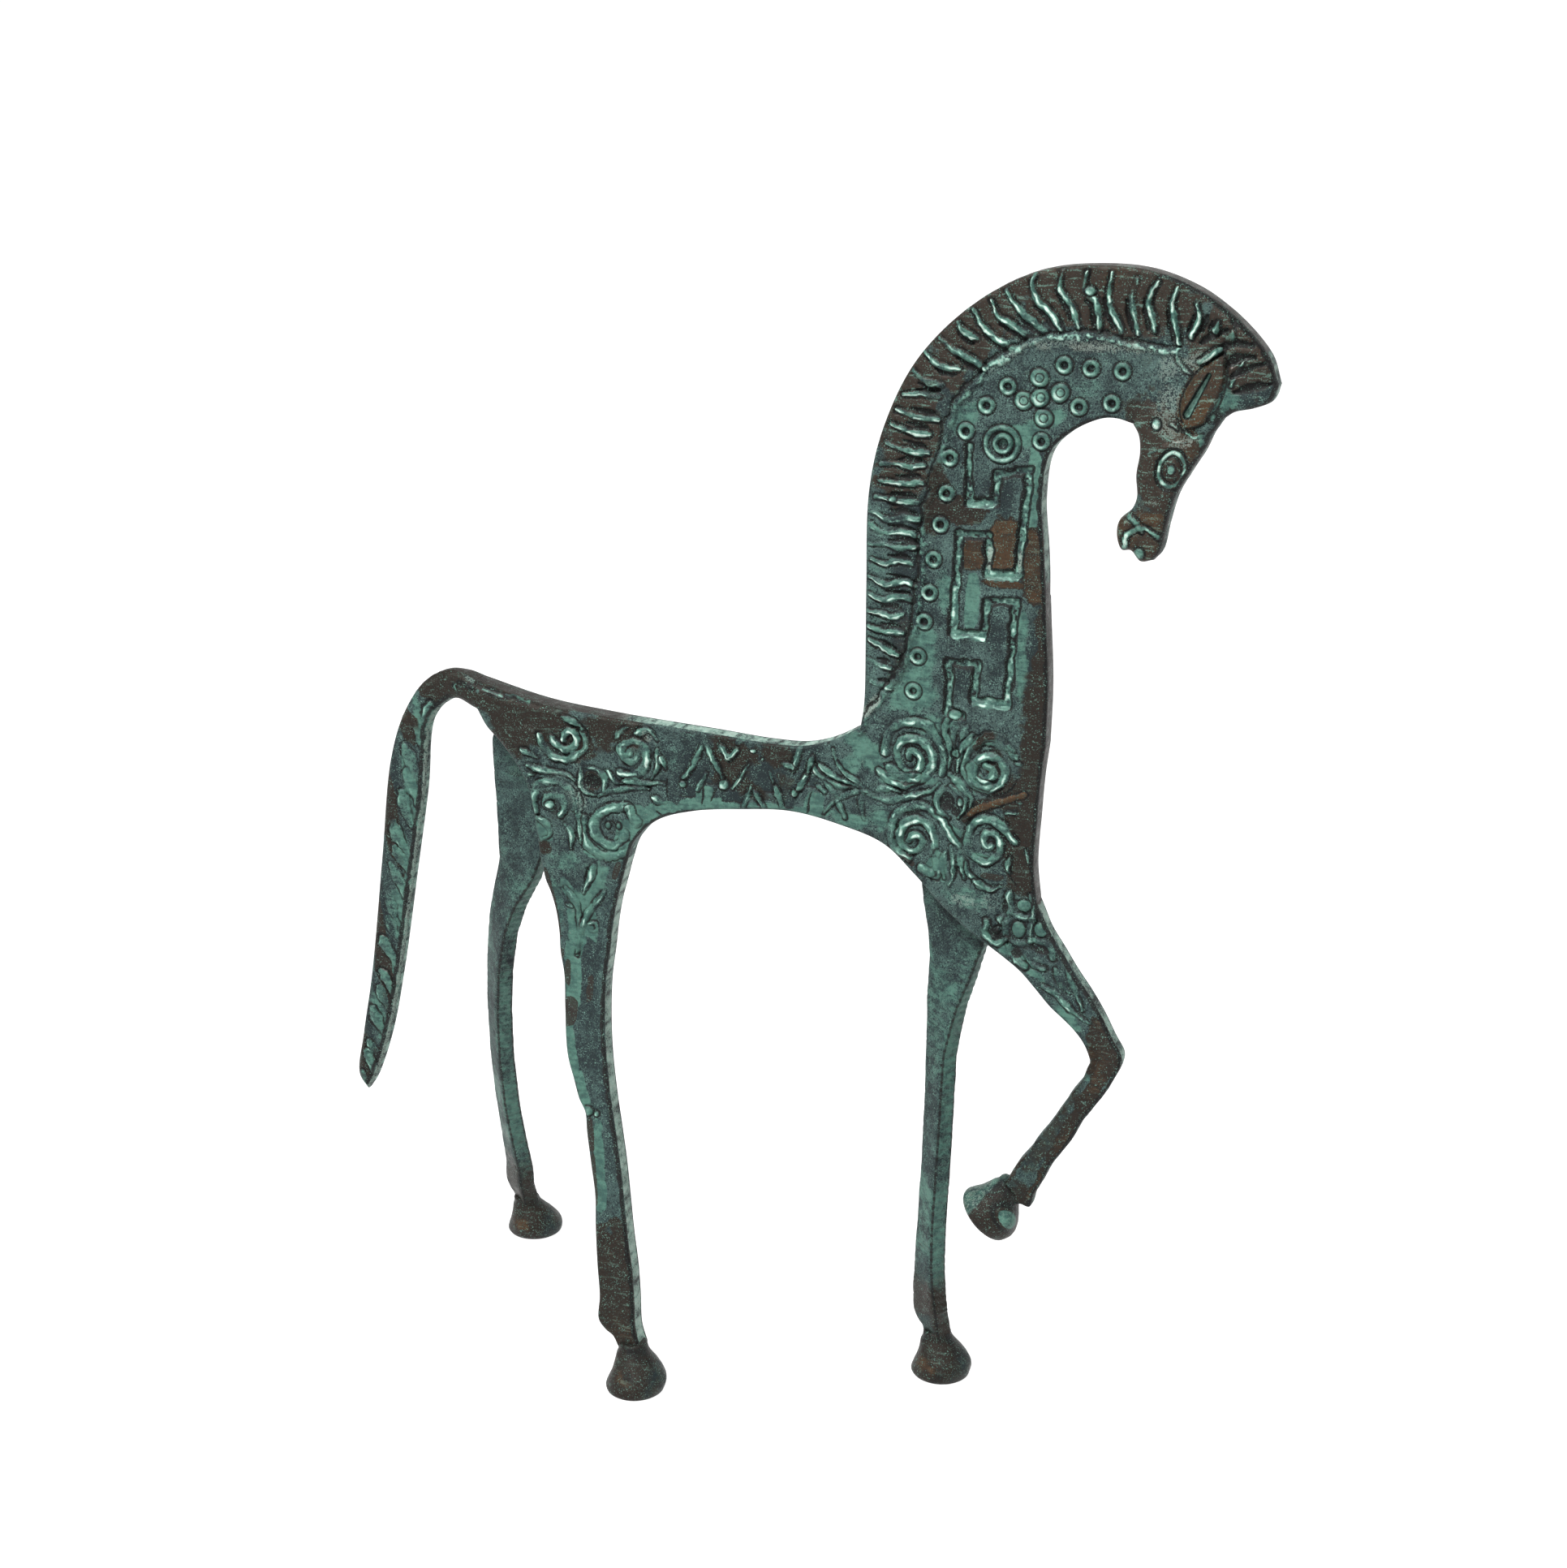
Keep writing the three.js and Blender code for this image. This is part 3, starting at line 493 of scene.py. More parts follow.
LEAVES = (
    ((28.4, 153.2), (24.7, 154.9), (22.6, 157.1), (19.2, 159.6), (17.5, 162.2), (16.6, 164.5)),
    ((11.5, 159.8), (13.2, 157.9), (15.8, 156.4), (19.2, 155.4), (23.5, 155.6)),
    ((13.2, 160), (18.3, 157.3), (23, 155.8)),
    ((25.2, 154.9), (22.2, 154.3), (19.2, 152.8), (16.6, 150.7), (14.5, 148.1)),
    ((24.4, 154), (23.8, 150.6), (24.6, 147.8)),
    ((27, 153.4), (31.5, 153.4), (36, 154.8), (40, 156.2), (43.5, 158.8)),
    ((26.5, 155.4), (30, 156.2), (33.5, 155.9)),
    ((44.3, 157.6), (42.4, 155.2), (43, 152.4), (45.6, 150.6)),
    ((46.2, 158.4), (48.6, 157), (49.4, 153.8), (48, 150.8)),
    ((45.6, 161.6), (48.8, 158.6), (50.8, 156.2), (50.9, 153.4)),
    ((47, 175), (46.3, 171.8), (46.1, 169.4), (46.8, 167)),
    ((49.4, 173.4), (48.6, 171.4), (48, 169.8)),
    ((44.8, 174.6), (44.4, 171.8), (45.2, 169), (45.7, 165.5), (45.4, 163)),
    ((51, 171.6), (48.6, 168.4), (47.6, 165), (47.4, 162.6)),
    ((46.3, 143.4), (47.2, 140), (46.9, 136.6), (46, 133.8)),
    ((45, 142), (44.4, 138.6), (44.8, 135.4)),
    ((49.4, 141), (50.2, 138.2), (51.8, 136.4), (54.8, 134)),
    ((48.6, 142.6), (48.8, 138.6), (49.8, 135.6)),
    ((52.4, 135.4), (55.8, 133.8), (58.6, 134.8)),
    ((61, 142.4), (60.4, 140.6), (60.9, 138.6)),
    ((-45, 145.9), (-41.5, 147.8), (-36.8, 148.7), (-31, 149.3)),
    ((-38.6, 150.4), (-33, 150.7), (-26.6, 151)),
    ((-42, 152.4), (-40.4, 150.2), (-38.6, 149.9)),
    ((-63.8, 152.2), (-60.4, 151.3), (-56, 151), (-52.4, 150.4), (-49.6, 148)),
    ((-65.4, 149.6), (-62, 150)),
    ((-65, 156.2), (-61, 154.4)),
    ((-49, 152.6), (-49.6, 149.4), (-48.6, 146.8), (-45.8, 146)),
    ((-43.4, 147.4), (-42.9, 150.2), (-44.8, 152.8), (-48, 153.2)),
    ((-28.7, 159.5), (-28.3, 155.5), (-30.4, 151.9)),
    ((-39.6, 161.6), (-38.4, 163.4), (-36.4, 164.4)),
    ((-53.4, 165.9), (-51.2, 165.1), (-48.3, 162.8)),
    ((-34.2, 163.4), (-31.2, 164.3), (-28.9, 161.9)),
    ((-50, 146), (-50.4, 140), (-49.8, 133)),
    ((-54, 137.4), (-52.4, 134.4), (-52.8, 131)),
    ((-61.8, 138.4), (-59, 136.8), (-58.4, 134.2), (-60.8, 132.6)),
    ((-30, 147), (-27, 146.1)),
    ((-27.6, 157.6), (-26.4, 154.9)),
    ((-54.9, 120.3), (-52.2, 116.8), (-50.8, 112), (-51, 103)),
    ((-44.2, 120.4), (-47.2, 116.2), (-49.8, 111), (-50.8, 104)),
    ((-46.6, 127.4), (-48, 123), (-49.8, 119.6)),
    ((70.2, 112), (75, 110.2), (78, 107.8), (82.4, 105.6)),
    ((73.1, 116.6), (74.8, 113.8), (77.1, 111.6)),
    ((76.4, 116.8), (78.4, 112.4), (80.8, 108.2)),
)

THIN_LINES = (
    ((92.6, 244.4), (94.8, 243.2), (97.6, 243.4)), ((97.2, 245.4), (99.4, 244.2), (101, 244.8)),
    ((94.4, 247.2), (95.8, 245.8)), ((94.6, 261), (96.2, 259.2), (98, 258.2)), ((89.6, 240.2), (91.6, 241.2)),
    ((102.4, 248.2), (104, 249.8), (106, 250.6)), ((106.4, 256), (107.6, 259), (109.4, 261.6)),
    ((-9, 151.5), (-6.8, 154.9), (-4.7, 158.8)),
    ((0.4, 157.1), (1.5, 154.1)),
    ((59.6, 153.5), (62, 153.6)),
    ((64.6, 144.8), (65.3, 143.4), (65.3, 141.4)),
    ((61.6, 166), (62.8, 165.5)),
    ((62.3, 156), (63.4, 156)),
    ((59.4, 170), (61.2, 168.9)),
    ((-80.7, 171.3), (-75.2, 170.5), (-70, 169.9), (-65, 169.1), (-62.6, 168.5)),
    ((-54.3, 115.8), (-53, 115.2)),
    ((-82.6, 169.4), (-83.6, 170.6), (-82.4, 171.4), (-81.4, 170.6)),
    ((63.9, 131), (65.6, 129.2)),
    ((-48.2, 111.4), (-46.6, 112), (-45.7, 110.9), (-46.4, 109.6), (-47.8, 109.6)),
)

STEMS = (
    ((49.7, 150.6), (51.6, 152.8), (55.6, 154.8), (59.7, 156.4), (63.3, 158.2)),
    ((51.8, 168.6), (54.4, 171.8), (58.4, 171.4)),
)

BARS = (
    ((-16.9, 162.6), (-19.2, 156.8), (-21.8, 153)),
    ((-16.4, 162.8), (-14.1, 158.3), (-11.6, 153.6)),
    ((-12.2, 162.4), (-10, 159.2), (-8.1, 161.5)),
    ((-16, 154.5), (-18.1, 150.7)),
    ((-7.7, 163.3), (-6.4, 164.3)),
    ((-6.2, 147.6), (-4.4, 152.5)),
    ((-3.6, 151.7), (-0.8, 148)),
    ((2.1, 153.2), (3.9, 148)),
    ((10.2, 157.5), (6.9, 152)),
    ((8.5, 164.1), (6.4, 157.9)),
    ((4.3, 159.2), (6.2, 158.8)),
    ((14.9, 156.2), (17.5, 153.2)),
    ((17.9, 151.5), (19.8, 147.7)),
    ((12.8, 155), (14.6, 153.7)),
    ((11.4, 161.8), (10.3, 158.4)),
)

INCISIONS = (
    ((-17.2, 146.8), (-16.3, 151.6)),
    ((10.1, 147), (11.2, 153.4)),
    ((-14.6, 148), (-13.2, 151)),
    ((55, 156.6), (59.7, 158.4), (62.6, 163)),
    ((62.4, 136), (59.6, 139)),
    ((-49, 122), (-48.2, 126.4)),
    ((-26, 152.4), (-26.2, 147)),
    ((-29.2, 143.6), (-26.6, 141.8)),
    ((97.4, 244.8), (95.2, 248.2)),
)

FORELOCK_GAPS = (
    ((99.8, 264.6), (102.4, 266.4), (105, 267.6)), ((103.6, 263.6), (107, 264.8), (111, 264.6)),
    ((105.4, 260.4), (108.4, 262), (111.4, 262.2)), ((106.6, 257.8), (110, 259.6), (114, 261)),
    ((107.4, 254.6), (111.6, 256), (116, 257)), ((100.8, 270.4), (99.8, 267)),
    ((106.2, 269.2), (108.6, 268.6)),
)

CELLS = (
    ((60.9, 133.4), (60.9, 128.4), (58.8, 127), (60.4, 126)),
    ((60.9, 128.6), (64, 128), (67.4, 128.2)),
    ((66.4, 133.4), (67.2, 129.4), (66.3, 125), (66.8, 121.4)),
    ((60.8, 127.4), (60.4, 123), (62.4, 121.2), (66, 121.6)),
    ((66.3, 122.4), (69, 122.6), (71.4, 121.8), (72.4, 119.2)),
    ((55.6, 126), (55.4, 122.6), (58, 120.4), (60.4, 122)),
    ((57.6, 123.6), (58.6, 124.2)),
    ((65.8, 119.6), (66.8, 117.2), (70.4, 116.4)),
    ((61.2, 120.6), (63.2, 117.4), (65.8, 116)),
)

HEAD_LINES = (
    ((86.1, 226), (87.6, 224.4), (88.9, 222.9)),
    ((92.6, 221.6), (90, 223.6), (87.6, 223.4), (85.4, 221.6), (84.9, 218.9)),
)

MEANDER = (
    (
        (48.6, 239.3), (48.9, 226.4), (55, 226.7), (55.2, 233.3), (62.7, 234.6), (60.8, 210.4), (53.6, 210.2),
        (53.8, 219.1), (46.8, 219), (45.8, 195.7), (53.1, 196), (53.7, 203.7), (60.5, 204.3), (59, 180),
        (51.2, 179.8), (51.7, 188.7), (45, 188.6), (44.9, 177), (48.1, 176.2),
    ),
)

LIT_EDGES = (
    ((49.2, 225.9), (54.6, 226.1)),
    ((53.9, 209.6), (60.4, 209.8)),
    ((46.1, 195.1), (52.8, 195.4)),
    ((51.4, 179.2), (58.6, 179.3)),
    ((45.2, 176.2), (48, 175.7)),
    ((46.3, 204), (46.1, 198.4)),
)

NECK_LOCKS = (
    ((31, 181), (26, 182.2)), ((31, 186), (28.4, 186.4), (25.6, 187.7)),
    ((32.6, 189.3), (29.4, 190.6), (25.6, 192.4)), ((33.6, 194.6), (29.4, 194.6), (25.5, 195.7)),
    ((33.9, 199.3), (31, 198.4), (28, 199), (25.3, 199.4)),
    ((36, 202.5), (33, 203.2), (29, 202.2), (25.3, 203.7)),
    ((36.8, 205.8), (34.4, 207), (30, 205.9), (25.3, 207.7)),
    ((36, 211), (33, 211.4), (29.5, 210.8), (26, 211.4)),
    ((36.8, 215.4), (33.5, 214.6), (29, 215.2), (25.4, 215.1)),
    ((37, 217.7), (33, 218.7), (29, 218.1), (25.4, 219.7)),
    ((37.2, 221.7), (33.6, 221.9), (30, 221.2), (25.6, 222.8)),
    ((37.2, 225.5), (31, 225.8), (26.6, 226.2)), ((38, 230.1), (32, 229.7), (27.6, 230.2)),
    ((38, 234.2), (34.6, 233.4), (32, 234.3), (28, 233.9)), ((39, 237), (33.4, 237.3), (29.4, 238.8)),
    ((39.4, 241.2), (35, 241.6), (30.2, 243.2)), ((41, 244.8), (36.4, 245.2), (31.2, 246.4)),
    ((41.4, 249.8), (37, 250.2), (33, 249.7)),
)

ARCH_LOCKS = (
    ((42, 252.6), (38.4, 252.9), (35.2, 255.6)), ((46, 256.2), (41.4, 257), (37.8, 259.8)),
    ((52, 256.5), (47.5, 259), (43.8, 261), (41.3, 262.9)), ((50, 263.2), (47, 264.4), (45.3, 266.9)),
    ((58, 261.4), (54.5, 263.2), (51.2, 265.6), (48.6, 269.6)),
    ((62, 264), (57.5, 266.4), (54.6, 268.4), (53, 271.6)),
    ((65.4, 265.2), (62, 267.6), (58.5, 270.6), (56.2, 274)),
    ((68.7, 265.8), (67, 268.5), (63.6, 272), (62.2, 275.4), (62.8, 278)),
    ((72.4, 267), (70.6, 271.6), (68.3, 274.8), (68.9, 279)),
    ((77.4, 266.2), (76.8, 271.2), (73.8, 275), (74.2, 278.6)),
    ((82, 266.2), (80, 270.4), (79.2, 275), (79.7, 278.6)),
    ((85.8, 266.2), (85.1, 269.4), (84, 273.6), (85.2, 277.6)),
    ((89.6, 266.6), (88.9, 269.4), (88, 273), (89.6, 277)),
    ((94.7, 264.2), (94.2, 267.4), (93, 271.4), (94, 276)),
    ((97.6, 266), (99, 269.4), (98.6, 272.6)), ((102.6, 267), (103.2, 269)), ((105.6, 265.6), (106.4, 267)),
    ((104, 263.6), (101.4, 261.6), (99.4, 260.4)),
)

RING_MIDDLES = (
    (69.8, 258.3), (75.8, 257.9), (82.8, 257.6), (57.2, 253), (52.4, 248.5), (47.8, 242.5), (44.2, 236.2),
    (43.6, 228.1), (42.3, 220.8), (40.8, 212.6), (40, 204.7), (38.9, 197.8), (37.5, 189.3), (36.5, 180.9),
    (73.4, 249.3), (80.7, 250.5), (65.2, 241.2),
)

ROSETTE = ((64.3, 255.2), (60.9, 250), (64.7, 250.9), (69.1, 252.2), (65.5, 246.4))

DOMES = (
    Dome((45.2, 154.7), 1.9, -0.8, 1.25, -1.0), Dome((47.2, 152.4), 1.1, -0.5, 1.0, -0.8),
    Dome((-46.3, 149.5), 2.0, -0.8, 1.0, -1.0), Dome((90.9, 246.6), 1.1, 0.4, 1.15, 1.2),
    Dome((88.3, 217.7), 1.4, 0.3, 1.0, 0.7), Dome((-11.4, 152.4), 1.3, 0.45, 1.0, 0.8),
    Dome((-22.2, 151.4), 0.9, 0.3, 1.0, 0.6), Dome((-3.8, 161.8), 0.85, 0.3, 0.6, 1.2),
    Dome((-1.3, 160), 0.35, 0.2, 1.0, 0.9), Dome((6.9, 152.3), 0.95, 0.4, 1.0, 0.8),
    Dome((46.7, 176.1), 1.5, 0.35, 0.75, 0.6), Dome((47, 166.6), 0.95, 0.35, 1.0, 0.5),
    Dome((64.7, 130.9), 1.75, 0.4, 0.85, 0.15), Dome((63.5, 124.9), 1.75, 0.45, 1.2, 0.15),
    Dome((69, 125.5), 1.7, 0.4, 1.1, 0.15), Dome((60, 130.2), 0.8, -0.4, 2.2, -0.9),
    Dome((58, 123), 1.5, -0.35, 1.2, -0.8), Dome((69.4, 120.5), 1.9, -0.4, 0.5, -0.9),
    Dome((63.4, 119), 1.3, -0.3, 1.0, -0.8), Dome((-40.9, 138.2), 2.4, -0.25, 1.0, -0.35),
    Dome((-42.4, 138.4), 0.75, 0.5, 1.2, 0.25), Dome((-39.6, 138.5), 0.7, 0.45, 1.2, 0.25),
    Dome((-58, 142.3), 1.2, 0.4, 0.9, 0.9), Dome((-44.2, 65.6), 1.6, 0.75, 0.8, 0.7),
    Dome((-41.6, 65.2), 0.7, 0.4, 1.0, 0.8), Dome((75, 274.6), 1.3, 0.4, 0.8, 0.8),
    Dome((31, 226), 1.0, 0.3, 0.6, 0.8), Dome((48.4, 154.8), 0.7, 0.35, 1.6, 0.7),
)

B, F, P, S, K = Tint.BROWN, Tint.FRESH, Tint.PALE, Tint.SHADE, Tint.FLAKE
PATCH_ROWS = (
    (B, 57.4, 217, 4, 7.4, 0, 1.36), (B, 50.4, 214.8, 3, 4, 0, 1.28), (B, 65.4, 213, 4.4, 9.5, 0, 1.28),
    (B, 46.6, 224.2, 8, 3.6, 4, 1.1), (B, 41.4, 230.5, 3, 4.5, 0, 0.9), (B, 40.8, 224, 3, 6, 0, 0.8),
    (B, 58, 208.2, 6, 1.2, 0, 1.3),
    (B, 68, 194, 3.2, 18, 0, 1), (B, 67, 176, 5, 14, -2, 1), (B, 66.6, 160, 5.2, 22, 0, 1),
    (B, 60.4, 158, 4.6, 6, 10, 1), (B, 64, 147, 5, 11, 0, 1), (B, 65, 139, 5, 7, 0, 1),
    (B, 56.6, 164.4, 2.2, 4.6, 0, 0.8), (B, 57.4, 145.6, 1.8, 3.4, 0, 0.7), (B, 54, 154, 4, 2.4, 20, 0.8),
    (B, -76, 169, 12, 6.4, -4, 1), (B, -62, 163.6, 17, 8, -8, 1), (B, -50.6, 161, 7.4, 7, 0, 1),
    (B, -40, 162.6, 11, 6.4, -8, 0.95), (B, -68, 158, 9, 5, -8, 0.8), (B, -90, 170.6, 6, 4, -30, 0.9),
    (B, -46.4, 150, 3.4, 3.4, 0, 0.8), (B, -55, 142, 6, 6, 0, 0.45),
    (B, -8.4, 160.6, 8.4, 5, 0, 1), (B, -9, 155.4, 5.6, 4.4, 0, 0.9), (B, 2, 161.4, 6.4, 3.6, 0, 0.8),
    (B, -4.6, 151.4, 5, 2.6, 0, 0.7), (B, 4, 154, 4, 5, 0, 0.55), (B, -60, 130.6, 2.2, 1.8, 0, 1),
    (B, 48, 265.6, 21, 9, 44, 1), (B, 80, 272.6, 27, 9.6, -2, 1), (B, 106, 265, 13, 9, -40, 1),
    (B, 110, 258.4, 6, 5, 0, 0.85), (B, 33.6, 239, 7.4, 15, -8, 1), (B, 36, 251, 6, 8, -30, 0.9),
    (B, 93, 236, 8.6, 18, 22, 1), (B, 88, 220, 7.6, 8, 0, 1.3), (B, 100.4, 254.4, 3.8, 8, -26, 1.3),
    (B, 98, 240, 4, 8, 22, 1.2), (B, 110, 264, 9, 5, -50, 1.2), (B, 80, 278, 26, 3, -2, 1.15),
    (B, 72, 262.4, 10, 1.6, 6, 0.5), (B, 88, 261, 6, 3, 0, 0.35), (B, 87.6, 101, 6, 7, 0, 1.1),
    (B, 72.6, 81.6, 1.8, 24, -24, 1.15), (B, 79.8, 78.4, 2.4, 24, -24, 1.15),
    (B, 75.6, 79, 3.4, 24, -24, 0.6),
    (B, 68.6, 60, 5, 6, 0, 0.7), (B, -30, 22, 14, 19.4, 0, 1.1), (B, -115, 62, 4.6, 10, 8, 1),
    (B, -110.2, 100, 2.8, 30, 9, 1.1), (B, -105, 138, 2.6, 20, 8, 1.1), (B, -99.4, 161, 3, 9, 30, 1.1),
    (B, -84, 171.4, 15, 5.6, 0, 1.1), (B, -66, 171, 14, 3.2, -6, 1.2),
    (F, 63.9, 230, 1.5, 10.5, -1, 1.3), (F, 62.2, 192, 1.8, 13, 0, 0.9), (F, 50.2, 203.6, 1.7, 6.4, -2, 1.1),
    (F, 38.6, 190, 4, 8, -12, 0.9), (F, 35.6, 179.6, 6.4, 6.4, -20, 1), (F, 42, 173.4, 6, 3.4, 0, 0.7),
    (F, 44, 206, 2.2, 5, 0, 0.8), (F, 60.4, 242.6, 7, 3, 20, 0.9), (F, 68, 247, 4, 2.6, 30, 0.9),
    (F, 47, 245.6, 4.2, 3, 40, 0.8), (F, 72, 254, 14, 3.4, 0, 0.35), (F, 25, 165, 8, 4, -50, 1),
    (F, 21.4, 161, 3.6, 3.4, -40, 0.8), (F, -16, 147, 9.4, 1.9, 6, 1.2), (F, 4, 147.9, 14, 1.2, 0, 1.2),
    (F, 12, 150, 2.6, 3.6, 0, 1.2), (F, -16.6, 149.4, 2.6, 2.4, 0, 1.1), (F, 22, 147, 7, 2, -10, 1),
    (F, 29, 148.4, 3.6, 4, 20, 0.9), (F, -28, 144, 6, 2.8, 16, 1.2), (F, -33.4, 141.4, 3.6, 3.8, 0, 1.2),
    (F, -43.4, 131.4, 7, 2.8, 0, 1.1), (F, -37.8, 135.6, 2.8, 5, 0, 1.1), (F, -60, 135.4, 2.2, 3.4, 20, 1.1),
    (F, -54, 127, 4.6, 4.6, 0, 0.7), (F, -46, 124.4, 3.4, 5.6, 20, 1), (F, -57, 117, 2.2, 8, 8, 0.7),
    (F, -51.4, 112, 3, 9, 2, 1.1), (F, -52, 99.4, 2.4, 9, 6, 1.2), (F, -50.4, 79.6, 1.8, 9, 14, 1.2),
    (F, -46.6, 70, 2.2, 6, 26, 1.2), (F, -39.4, 53, 1.8, 12.6, 9, 1.2), (F, 38.6, 159.4, 5, 1.4, 0, 1),
    (F, 75.6, 79, 1.8, 22, -24, 0.6), (F, 83.6, 96, 1.4, 5, 0, 0.8), (F, -49, 114, 2.6, 7, 10, 1.1),
    (F, -46, 122, 1.8, 7, -28, 1.1), (F, -53.4, 119, 1.6, 5, 30, 1.1),
    (F, 42.6, 137.6, 2.8, 3.4, -24, 1.2), (F, 34.6, 144.4, 3.6, 4.6, 0, 0.7),
    (F, 51.2, 161.6, 1.6, 4, 10, 0.8),
    (F, 53.4, 141.4, 3, 1.4, 0, 1), (F, 47, 147, 3, 2, -40, 1), (F, 58.6, 120.8, 5, 1.4, -32, 1),
    (F, 66.4, 116.4, 7, 1.4, -38, 0.9), (F, 77, 106, 6, 1.6, -40, 0.9), (F, 84, 98.6, 1.6, 3.4, 0, 0.7),
    (F, 99.8, 243.4, 1.6, 2, 0, 1.2), (F, 106, 252, 4.4, 2.4, 35, 0.9), (F, 107, 258, 2.2, 5, -20, 1),
    (F, -94.2, 158, 2, 10, 10, 0.9), (F, -97.6, 139, 2.1, 12, 10, 1.1), (F, -100.4, 122, 2.1, 11, 8, 1),
    (F, -103, 106, 2.1, 12, 10, 1), (F, -106.8, 91, 2.4, 11, 12, 0.9), (F, -110.6, 74, 2.6, 12, 14, 0.9),
    (F, 27, 203, 2.4, 20, 0, 0.35), (S, 33, 206, 3, 26, 0, 0.6), (B, 33, 190, 3, 14, -10, 0.45),
    (F, 50, 131, 8, 3, -6, 0.6), (F, -24, 155, 3, 6, 0, 0.35),
    (P, 54, 213.6, 0.8, 3, -2, 1), (P, 61, 213, 0.7, 3.2, -4, 0.9), (P, 76, 262.8, 17, 1.9, -1, 0.62),
    (P, 57, 259.2, 9, 1.4, 36, 0.5), (B, 78, 262.6, 18, 2, 0, 0.45), (P, 93, 259.4, 4.4, 3, 40, 0.5),
    (P, 93.4, 251, 3.4, 5.4, -30, 0.55), (P, 93.8, 245.8, 2.8, 2.6, 0, 0.65),
    (P, 97, 242.9, 3.8, 1.6, 20, 0.65),
    (P, 98, 260, 4.4, 2.2, 40, 0.6), (F, 93.6, 249.4, 2.6, 5, -20, 0.3),
    (P, -50, 146.4, 3.2, 8, 0, 0.5), (P, -55, 150.4, 6, 1.2, -6, 0.5), (P, 56.4, 131, 3, 3, 0, 0.35),
    (P, 49.6, 130.4, 4, 2, -6, 0.5), (P, 26.6, 176.6, 1.3, 4.6, -36, 1), (P, 118, 256.6, 1.6, 3.6, 14, 0.9),
    (P, -71, 171.6, 1.6, 0.7, 0, 0.9), (P, -31, 162.6, 2.2, 2, -40, 0.6), (P, 91, 229.4, 2.4, 0.8, 0, 0.5),
    (P, 88.4, 226, 1.4, 2, 0, 0.3), (P, 87.4, 222, 1, 1, 0, 0.4), (P, -62.6, 162.2, 3.4, 1.2, 0, 0.35),
    (S, -27, 158, 4, 6, 0, 0.4), (S, 57.6, 227, 2.4, 5.6, 0, 0.6), (S, 56, 192, 2.4, 10, 0, 0.5),
    (S, 48.4, 184, 2.4, 4, 0, 0.6), (S, 66, 192, 2.6, 16, 0, 0.7), (S, 24.6, 162.4, 1.6, 3, 10, 0.9),
    (S, 36.6, 220, 2, 30, 2, 0.6), (S, -46.4, 92, 3, 20, 5, 0.5), (S, -38, 66, 2, 16, 12, 0.5),
    (S, -103.8, 150, 2.2, 16, 12, 0.8), (S, -108.6, 112, 2, 26, 8, 0.8), (S, -114.6, 72, 2, 16, 8, 0.7),
    (S, 60, 268, 16, 5, 28, 0.5), (S, 76, 111, 5, 3, -40, 0.5), (S, 8.4, 157, 2.6, 6, -16, 0.7),
    (S, 69.4, 121, 3, 2, 0, 0.6), (S, 55.6, 200.8, 1.6, 2, 0, 0.5), (S, 40, 152.4, 8, 1.2, 10, 0.4),
    (K, -53.4, 98.6, 0.9, 3.4, 4, 1), (K, -51.9, 89, 2.1, 3.9, 8, 1), (K, -55.6, 103, 0.9, 1.6, 0, 1),
    (K, -42.6, 60, 1, 5, 12, 1), (K, -40.6, 50, 0.8, 7, 10, 1), (K, -57.2, 112, 0.8, 6, 10, 0.9),
    (K, 82.6, 80, 1.2, 20, -28, 0.9), (K, 72.6, 78, 0.9, 16, -32, 0.5), (K, -58.8, 120, 0.6, 5, 16, 0.8),
    (K, -46.8, 95, 1.2, 4, 0, 0.6), (K, -40.4, 126.6, 0.9, 3, -20, 0.9), (K, 66, 91, 3, 6, 0, 0.5),
    (K, 56.6, 137.2, 3, 1, 0, 0.6), (K, 35.6, 138.9, 2.6, 0.9, -30, 0.8), (K, 66, 180, 1.6, 10, 0, 0.5),
)
PATCHES = tuple(Patch(tint, (x, z), (wide, tall), *rest) for tint, x, z, wide, tall, *rest in PATCH_ROWS)


def tail_locks() -> list[Run]:
    """The slanting locks down the tail."""
    outer = run_points(TAIL_OUTER, 0.5)
    inner = run_points(TAIL_INNER, 0.5)[::-1]
    found = []
    count = 17
    for i in range(count):
        share = 0.1 + 0.84 * (i + 0.25 * math.sin(4.1 * i)) / (count - 1)
        high = outer[int(share * (len(outer) - 1))]
        low = inner[min(len(inner) - 1, int((share + 0.09) * (len(inner) - 1)))]
        way = low - high
        across = np.array([-way[1], way[0]]) / np.hypot(*way)
        along = np.linspace(0.4 + 0.08 * math.sin(2.3 * i), 0.86, 6)
        swing = 0.6 * np.sin(2 * math.pi * (along * 1.1 + 0.17 * (i % 4)))
        found.append(tuple(map(tuple, high + way * along[:, None] + across * swing[:, None])))
    return found


def lock_gaps() -> list[Run]:
    """The gaps over the level locks of the neck's mane, sunk and painted dark as their shade and dark patina.
    """
    found = []
    for lock in NECK_LOCKS:
        root, tip = np.array(lock[0]), np.array(lock[-1])
        lift = np.array((0.0, 1.35))
        found.append(tuple(map(tuple, (root * 0.92 + tip * 0.08 + lift, root * 0.66 + tip * 0.34 + lift,
                                       root * 0.4 + tip * 0.6 + lift * 0.9))))
    return found


def arch_gaps() -> list[Run]:
    """The gap beside each lock of the mane's arch, sunk and painted dark as its shade and dark patina."""
    found = []
    for lock in ARCH_LOCKS:
        path = run_points(lock, 0.7)
        way = np.gradient(path, axis=0)
        way /= np.linalg.norm(way, axis=1, keepdims=True)
        beside = path + 1.25 * np.stack([-way[:, 1], way[:, 0]], axis=1)
        found.append(tuple(map(tuple, beside[len(beside) // 10:len(beside) // 2 + 3:3])))
    return [run for run in found if len(run) > 1]


